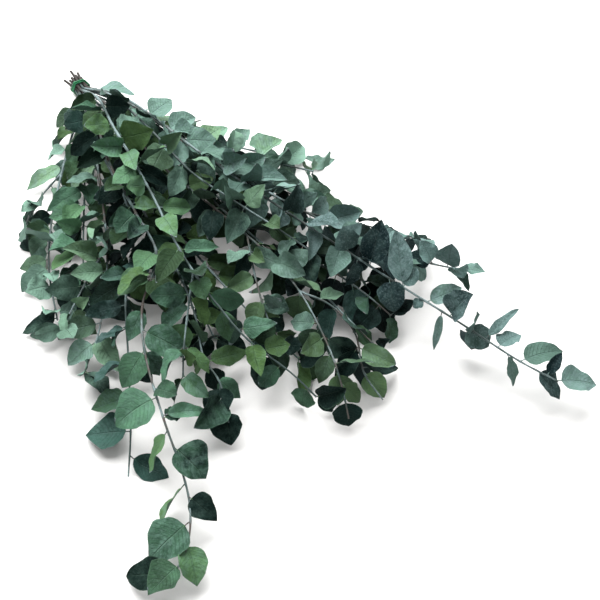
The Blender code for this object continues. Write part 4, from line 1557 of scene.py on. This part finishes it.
TRACED = (
    *traced("far_right_branch", 22, (38, 8, 26, 68, 42, 16, 34, 10, 0.5)),
    *traced("top_edge_branch", 22, (279, 168, 17, 284, 210, -14, 22, 0, 0.1)),
    *traced("left_edge_branch", 22, (40, -22, 13, 56, -58, 5, 26, -8, 0.3)),
    *traced("long_left_branch", 22,
        (506, -145, 48, 528, -129, 51, 24, 0, 0.4), (516, -149, 47, 515, -191, 30, 42, -10, 0.9),
        (537, -149, 44, 545, -106, 24, 16, 15, 1.3), (552, -156, 42, 569, -181, 14, 22, 45, 0.5),
        (570, -155, 40, 604, -143, 20, 42, -6, 0.4), (606, -164, 33, 626, -204, 9, 26, 62, 0.5),
        (618, -166, 31, 648, -154, 20, 25, 8, 0.6), (639, -178, 28, 646, -223, 14, 42, 0, 0.4),
        (656, -187, 26, 687, -198, 8, 28, 0, 0.5), (668, -202, 23, 670, -238, 9, 37, -12, 0.3),
        (672, -212, 21, 648, -246, 4, 30, 10, 0.2)),
    *traced("bare_tip_branch", 22,
        (485, -163, 22, 473, -199, 12, 30, 0, 0.3), (517, -178, 14, 492, -215, 4, 40, 0, 0.2),
        (538, -189, 9, 574, -167, -22, 28, 0, 0.0)),
    *traced("far_right_branch", 22,
        (558, 139, 50, 552, 127, 42, 14, 0, 0.4), (560, 140, 49, 565, 181, 52, 22, 20, 0.3),
        (577, 147, 48, 596, 126, 18, 9, 0, 0.3), (586, 150, 47, 594, 168, 80, 36, 10, 0.5),
        (612, 160, 45, 615, 162, 73, 25, 0, 0.3), (614, 161, 45, 611, 164, 9, 32, 0, 0.4),
        (626, 165, 44, 615, 217, 48, 12, 0, 0.5), (640, 169, 43, 638, 200, 42, 25, -18, 0.5),
        (650, 173, 42, 670, 173, 8, 14, -10, 0.3), (664, 178, 41, 674, 226, 34, 29, 0, 0.8),
        (680, 186, 39, 708, 198, 14, 23, 0, 0.4), (690, 191, 38, 682, 214, 50, 13, 10, 0.4),
        (699, 196, 36, 719, 233, 26, 31, 0, 0.5)),
    *traced("upper_right_branch", 22,
        (517, 180, 45, 498, 176, 66, 26, 0, 0.3), (528, 192, 44, 525, 196, 75, 28, 0, 0.3),
        (532, 197, 43, 556, 191, 52, 23, 0, 0.2), (537, 203, 42, 558, 219, 46, 18, 0, 0.3),
        (535, 200, 42, 558, 200, 28, 13, 0, 0.3)),
    *traced("far_right_branch", 7, (534, 129, 55, 527, 151, 66, 20, 10, 0.3)),
    *traced("long_left_branch", 22, (540, -150, 44, 539, -129, 38, 18, 0, 0.4)),
    *traced("far_right_branch", 7,
        (495, 114, 59, 474, 141, 96, 33, 13, 0.2), (469, 104, 63, 459, 104, 93, 28, -13, 0.4),
        (534, 129, 55, 488, 150, 86, 27, -4, 0.3)),
    *traced("upper_right_branch", 7, (517, 180, 45, 496, 162, 50, 25, -15, 0.2)),
    *traced("far_right_branch", 7, (518, 123, 57, 544, 116, 34, 30, 9, 0.9)),
    *traced("lower_right_branch", 7,
        (524, 108, 28, 530, 71, 14, 28, -20, 0.5), (524, 108, 28, 559, 103, 6, 26, 11, 0.5)),
    *traced("right_bend_branch", 7,
        (573, 50, 36, 574, 99, 14, 27, 36, 0.3), (584, 46, 34, 588, 91, 6, 20, 15, 0.2),
        (588, 45, 32, 611, 55, 8, 26, 26, 0.4), (576, 21, 36, 601, 4, 12, 28, -1, 0.5),
        (525, 31, 45, 531, 20, 9, 34, -9, 0.3), (482, 37, 52, 488, 29, 18, 32, -4, 0.3),
        (604, 12, 28, 618, 8, 2, 30, 10, 0.3)),
    *traced("left_edge_branch", 7,
        (279, -160, 16, 288, -199, 7, 28, -11, 0.3), (347, -181, 12, 341, -219, 3, 20, -11, 0.3)),
    *traced("left_branch", 7,
        (385, -147, 21, 361, -182, 14, 26, -20, 0.4), (403, -162, 18, 407, -193, 10, 29, -15, 0.4)),
    *traced("long_left_branch", 7,
        (463, -130, 51, 475, -165, 26, 30, -24, 0.6), (441, -122, 53, 481, -91, 36, 32, 34, 0.6),
        (419, -110, 57, 435, -137, 38, 21, -16, 0.4)),
    *traced("bare_tip_branch", 7,
        (366, -103, 44, 360, -149, 26, 24, -29, 0.3), (391, -118, 38, 374, -159, 30, 20, -36, 0.4)),
    *traced("left_edge_branch", 7, (139, -82, 19, 143, -134, 8, 22, -10, 0.4)),
    *traced("left_inner_branch", 7, (203, -82, 32, 204, -131, 22, 26, -17, 0.3)),
    *traced("left_edge_branch", 7,
        (207, -124, 18, 198, -163, 6, 23, -19, 0.4), (260, -151, 17, 252, -173, 6, 20, -16, 0.2)),
    *traced("upper_branch", 7,
        (205, 54, 43, 155, 72, 44, 30, -3, 0.2), (215, 57, 44, 213, 95, 50, 32, 10, 0.2),
        (258, 74, 45, 295, 64, 42, 34, 5, 0.3), (273, 80, 44, 303, 98, 60, 34, 12, 0.2),
        (308, 94, 43, 341, 74, 40, 34, 0, 0.3), (317, 98, 42, 345, 123, 51, 34, 12, 0.2)),
    *traced("top_edge_branch", 7,
        (194, 84, 24, 188, 116, 24, 27, 6, 0.1), (218, 103, 23, 207, 136, 24, 25, 5, 0.1),
        (247, 130, 21, 219, 141, 26, 28, -2, 0.1)),
    *traced("upper_branch", 7, (376, 132, 36, 389, 165, 22, 34, 12, 0.4)),
    *traced("upper_right_branch", 7,
        (154, 30, 54, 146, 64, 60, 32, 9, 0.3), (188, 37, 55, 193, 72, 62, 32, 11, 0.3)),
    *traced("left_branch", 7, (397, -157, 19, 443, -155, 8, 26, 14, 0.5)),
    *traced("middle_branch", 7,
        (526, -83, 31, 558, -90, 14, 32, 11, 0.6), (551, -90, 24, 569, -98, 2, 34, 5, 0.4),
        (494, -82, 37, 482, -90, 12, 26, -39, 0.4)),
    *traced("crest_branch", 7,
        (523, -33, 49, 526, -3, 40, 24, 17, 0.4), (544, -24, 42, 540, -48, 18, 20, -31, 0.5),
        (565, -15, 33, 591, 11, 10, 24, 24, 0.4), (572, -12, 30, 572, -17, 2, 26, -31, 0.3)),
    *traced("lower_right_branch", 7,
        (488, 98, 33, 533, 81, 8, 28, 6, 0.5), (469, 90, 35, 497, 55, 14, 28, -10, 0.5),
        (481, 62, 38, 508, 65, 20, 28, 18, 0.5)),
)

# More of them, which the solids haven't
MORE_TRACED = (
    *traced("middle_branch", 22,
        (518, -82, 33, 538, -68, 12, 20, 30, 0.3), (498, -82, 36, 495, -35, 16, 22, 21, 0.3),
        (503, -82, 35, 516, -80, 8, 22, 17, 0.4)),
    *traced("crest_branch", 22, (525, -32, 48, 540, -44, 10, 26, -5, 0.4)),
    *traced("long_left_branch", 22, (463, -130, 51, 475, -124, 20, 22, 30, 0.5)),
    *traced("crest_branch", 22, (541, -25, 42, 512, 37, 22, 24, 22, 0.4)),
    *traced("right_bend_branch", 22,
        (522, 32, 46, 490, 22, 22, 22, -37, 0.4), (523, 57, 46, 541, 68, 20, 22, 27, 0.4)),
    *traced("lower_right_branch", 22, (524, 108, 28, 551, 99, 6, 28, 6, 0.5)),
    *traced("right_bend_branch", 22,
        (556, 26, 41, 566, 6, 14, 20, -17, 0.4), (602, 13, 28, 585, -15, 4, 22, -23, 0.3),
        (605, 12, 27, 613, -3, 3, 26, -14, 0.3), (588, 18, 33, 603, 32, 8, 20, 28, 0.4)),
    *traced("far_right_branch", 22,
        (518, 123, 57, 556, 123, 30, 24, 16, 0.6), (556, 138, 52, 558, 188, 52, 18, 7, 0.3),
        (604, 157, 46, 625, 169, 30, 28, 32, 0.3)),
    *traced("bare_tip_branch", 22, (386, -116, 39, 420, -128, 24, 22, 7, 0.4)),
    *traced("crest_branch", 22,
        (229, -32, 86, 282, -44, 102, 22, 12, 0.3), (288, -38, 88, 327, -86, 98, 24, -10, 0.3),
        (340, -45, 87, 383, -50, 96, 24, 14, 0.4), (388, -50, 82, 418, -92, 84, 26, -13, 0.4),
        (427, -51, 76, 455, -57, 72, 24, 10, 0.4)),
)


# Where the bunch is seen from, and the outline on the floor that it fills from there, in mm
EYE = Vector((1053, -320, 843)) * MM
FAN = (
    (-22, 13), (11, 39), (78, 61), (131, 113), (186, 168), (270, 219), (289, 208), (285, 168),
    (362, 187),
    (429, 208), (477, 249), (521, 256), (589, 250), (650, 253), (704, 259), (695, 194), (662, 169),
    (603, 171), (540, 136), (560, 109), (588, 94), (610, 58), (599, 37), (622, 10), (610, -4),
    (584, -1),
    (565, -18), (530, -38), (536, -61), (561, -76), (569, -98), (522, -101), (638, -148),
    (692, -207),
    (656, -253), (584, -179), (556, -201), (489, -216), (452, -191), (371, -193), (344, -220),
    (305, -183), (277, -201), (164, -155), (99, -89), (19, -44),
)


def in_fan(point: Vector) -> bool:
    """Whether a point is seen inside the fan's outline.

    Args:
        point: The point.

    Returns:
        True if it is.
    """
    sight = point - EYE
    spot = (EYE + sight * (EYE.z / -sight.z)) / MM
    crossings = 0
    for (ax, ay), (bx, by) in zip(FAN, FAN[1:] + FAN[:1]):
        if (ay > spot.y) != (by > spot.y) and spot.x < ax + (bx - ax) * (spot.y - ay) / (by - ay):
            crossings += 1
    return crossings % 2 == 1


@dataclass
class Bunch:
    """The whole bunch of branches.

    Attributes:
        clearance: How far a grown leaf keeps from the others.
        traced_clearance: How far a traced leaf keeps from them.
        fill_clearance: How far a leaf that fills a gap keeps from them.
        fill_keep: The share of places for such leaves that are used.
        fill_first: How far up the shoot the first of them stand, against the others.
        fill_spans: Which part of the bunch's length has its gaps filled, each time round.
        slack: How much farther from its traced place a traced leaf may be at each try, in mm.
        tries: How often a leaf is tried.
        fill_tries: How often a leaf that fills a gap is tried.
    """

    clearance: float = 1.2 * MM
    traced_clearance: float = 0.5 * MM
    fill_clearance: float = 0.4 * MM
    fill_keep: float = 0.5
    fill_first: float = 0.8
    fill_spans: tuple[Span, ...] = ((0.0, 470 * MM), (0.0, 350 * MM), (260 * MM, 500 * MM))
    slack: float = 0.6
    tries: int = 20
    fill_tries: int = 12

    def __post_init__(self) -> None:
        """Lays out the stems and twigs, the highest branches first."""
        names = [branch.name for branch in BRANCHES]
        self.shoots: list[Shoot] = []
        self.placed: list[Placed] = []
        self.leaves: dict[str, list[Leaf]] = {name: [] for name in names}
        self.rooms: dict[str, list[tuple[Vector, float]]] = {name: [] for name in names}
        for branch in reversed(BRANCHES):
            stem = branch.stem()
            twigs = [twig.shoot(stem) for twig in TWIGS if twig.branch == branch.name]
            self.shoots += [stem, *twigs]

    def grow(self) -> None:
        """Grows every leaf, first those that the solids have and then those that fill the gaps."""
        for shoot in self.shoots:
            self._place_shoot(shoot)
        self._place_traced(TRACED, self.traced_clearance)
        for number, shoot in enumerate(self.shoots):
            rng = random.Random(SEED * 1000 + number)
            self._leaf_out(shoot, rng, self.tries, self.clearance, WHOLE_LENGTH)
        solid_leaves = sum(map(len, self.leaves.values()))
        self._place_traced(MORE_TRACED, self.fill_clearance)
        for lap, span in enumerate(self.fill_spans):
            for number, shoot in enumerate(self.shoots):
                first = shoot.habit.first * self.fill_first
                habit = replace(shoot.habit, keep=self.fill_keep, first=first)
                filled = replace(shoot, habit=habit)
                rng = random.Random(SEED * (3000 + lap) + number)
                self._leaf_out(filled, rng, self.fill_tries, self.fill_clearance, span)
        all_leaves = sum(map(len, self.leaves.values()))
        log.info("%d leaves of the solids, %d in all", solid_leaves, all_leaves)

    def build(self) -> None:
        """Builds and reports each branch."""
        middles = [leaf.middle() for leaves in self.leaves.values() for leaf in leaves]
        for number, branch in enumerate(BRANCHES):
            leaves = self.leaves[branch.name]
            shoots = [shoot for shoot in self.shoots if shoot.branch == branch.name]
            piece = branch.build(shoots, leaves, middles, number)
            log.info("%s: %d leaves, %d faces", piece.name, len(leaves), len(piece.data.polygons))

    def _place_shoot(self, shoot: Shoot) -> None:
        """Makes the leaves keep clear of a shoot.

        Args:
            shoot: The shoot.
        """
        stem = curve_tube(shoot.points, shoot.radii, 0)
        tree = BVHTree.FromObject(stem, bpy.context.evaluated_depsgraph_get())
        points = [vert.co for vert in stem.data.vertices]
        self.placed.append(Placed.from_points(shoot.branch, tree, tree, points))
        bpy.data.objects.remove(stem)

    def _place_traced(self, leaves: tuple[Traced, ...], clearance: float) -> None:
        """Grows traced leaves, each from the nearest place on its branch.

        Args:
            leaves: The traced leaves.
            clearance: How far each keeps from the others.
        """
        for number, shown in enumerate(leaves):
            rng = random.Random(SEED + number)
            spot = Vector(shown.base) * MM
            own = [shoot for shoot in self.shoots if shoot.branch == shown.branch]
            roots = [nearest_on(shoot.points, spot) for shoot in own]
            base = min(roots, key=lambda root: (root - spot).length)
            tries = (shown.leaf(base, rng, self.slack * attempt) for attempt in range(self.tries))
            if self._place_leaf(shown.branch, tries, clearance, False):
                self.rooms[shown.branch].append((base, shown.room * MM))
            else:
                log.info("no room for %s", shown)

    def _leaf_out(
        self, shoot: Shoot, rng: random.Random, tries: int, clearance: float, span: Span
    ) -> None:
        """Grows the leaves of a shoot.

        Args:
            shoot: The shoot.
            rng: The source of their chances.
            tries: How often each leaf is tried.
            clearance: How far each keeps from the others.
            span: Which part of the bunch's length they grow in.
        """
        for distance, turn in shoot.nodes(rng):
            place = shoot.at(distance)[0]
            rooms = self.rooms[shoot.branch]
            if any((place - root).length < room for root, room in rooms):
                continue
            if not span[0] <= place.x <= span[1]:
                continue
            leaves = (shoot.grown_leaf(distance, turn, attempt, rng) for attempt in range(tries))
            self._place_leaf(shoot.branch, leaves, clearance, True)

    def _place_leaf(
        self, branch: str, tries: Iterator[Leaf], clearance: float, within: bool
    ) -> bool:
        """Adds the first of some tries at a leaf that stays clear of what is placed.

        Args:
            branch: The branch that it grows on.
            tries: The tries.
            clearance: How far it keeps from the others.
            within: Whether it has to stay inside the fan's outline.

        Returns:
            Whether one of them was added.
        """
        for leaf in tries:
            if within and not all(in_fan(spot) for spot in leaf.rim()):
                continue
            trial = Placed.from_leaf(branch, leaf, clearance)
            if not any(trial.meets(other) for other in self.placed):
                self.placed.append(Placed.from_leaf(branch, leaf, 0.0))
                self.leaves[branch].append(leaf)
                return True
        return False


@dataclass
class Studio:
    """The floor, the lights and the camera.

    Attributes:
        floor_size: The side of the floor.
        look_at: The point that the camera looks at.
        camera_place: Where the camera stands.
        view_angle: The camera's angle of view, in degrees.
    """

    floor_size: float = 8.0
    look_at: Colour = (0.1064, 0.0616, 0.0)
    camera_place: Colour = (0.7060, -0.3131, 0.8426)
    view_angle: float = 33.0

    SKY = 0.28
    FLOOR_TONES = ((0.81, 0.802, 0.79), (0.84, 0.832, 0.82))
    LAMPS = (
        ("back_light", (-1.3, 0.4, 1.8), 2.8, 195.0),
        ("front_fill", (1.6, -1.4, 1.9), 2.4, 13.0),
    )

    def build(self) -> None:
        """Sets up the whole studio."""
        self._floor()
        self._sky()
        for lamp in self.LAMPS:
            self._lamp(*lamp)
        self._camera()
        bpy.context.scene.view_settings.view_transform = "Standard"

    def _floor(self) -> None:
        """Lays the pale floor."""
        bm = bmesh.new()
        bmesh.ops.create_grid(bm, x_segments=1, y_segments=1, size=self.floor_size / 2)
        floor = mesh_object("floor", bm)
        graph = Graph("floor_paper")
        fleck = graph.mix(graph.noise(graph.place(), 400.0, 3.0), *self.FLOOR_TONES)
        graph.shade(Base_Color=fleck, Roughness=0.9, Specular_IOR_Level=0.1)
        floor.data.materials.append(graph.material)

    def _sky(self) -> None:
        """Lights everything evenly from all round."""
        world = bpy.data.worlds.new("studio")
        bpy.context.scene.world = world
        world.use_nodes = True
        glow = world.node_tree.nodes["Background"].inputs
        glow["Color"].default_value = (1.0, 1.0, 1.0, 1.0)
        glow["Strength"].default_value = self.SKY

    def _lamp(self, name: str, place: Colour, size: float, power: float) -> None:
        """Hangs a soft lamp that points at the bunch.

        Args:
            name: Its name.
            place: Where it hangs.
            size: The side of its square face.
            power: Its power in watts.
        """
        lamp = bpy.data.lights.new(name, "AREA")
        lamp.size = size
        lamp.energy = power
        hung = add_object(name, lamp)
        hung.location = place
        hung.rotation_euler = (-Vector(place)).to_track_quat("-Z", "Y").to_euler()

    def _camera(self) -> None:
        """Sets the camera to the photograph's view."""
        lens = bpy.data.cameras.new("camera")
        lens.sensor_width = 36.0
        lens.lens = lens.sensor_width / 2 / math.tan(math.radians(self.view_angle) / 2)
        camera = add_object("camera", lens)
        camera.location = self.camera_place
        way = Vector(self.look_at) - Vector(self.camera_place)
        camera.rotation_euler = way.to_track_quat("-Z", "Y").to_euler()
        bpy.context.scene.camera = camera


def main() -> None:
    """Builds the bunch, its band and the studio."""
    logging.basicConfig(level=logging.INFO, format="%(message)s")
    bunch = Bunch()
    bunch.grow()
    bunch.build()
    band = RubberBand().build()
    log.info("%s: %d faces", band.name, len(band.data.polygons))
    Studio().build()


if __name__ == "__main__":
    main()
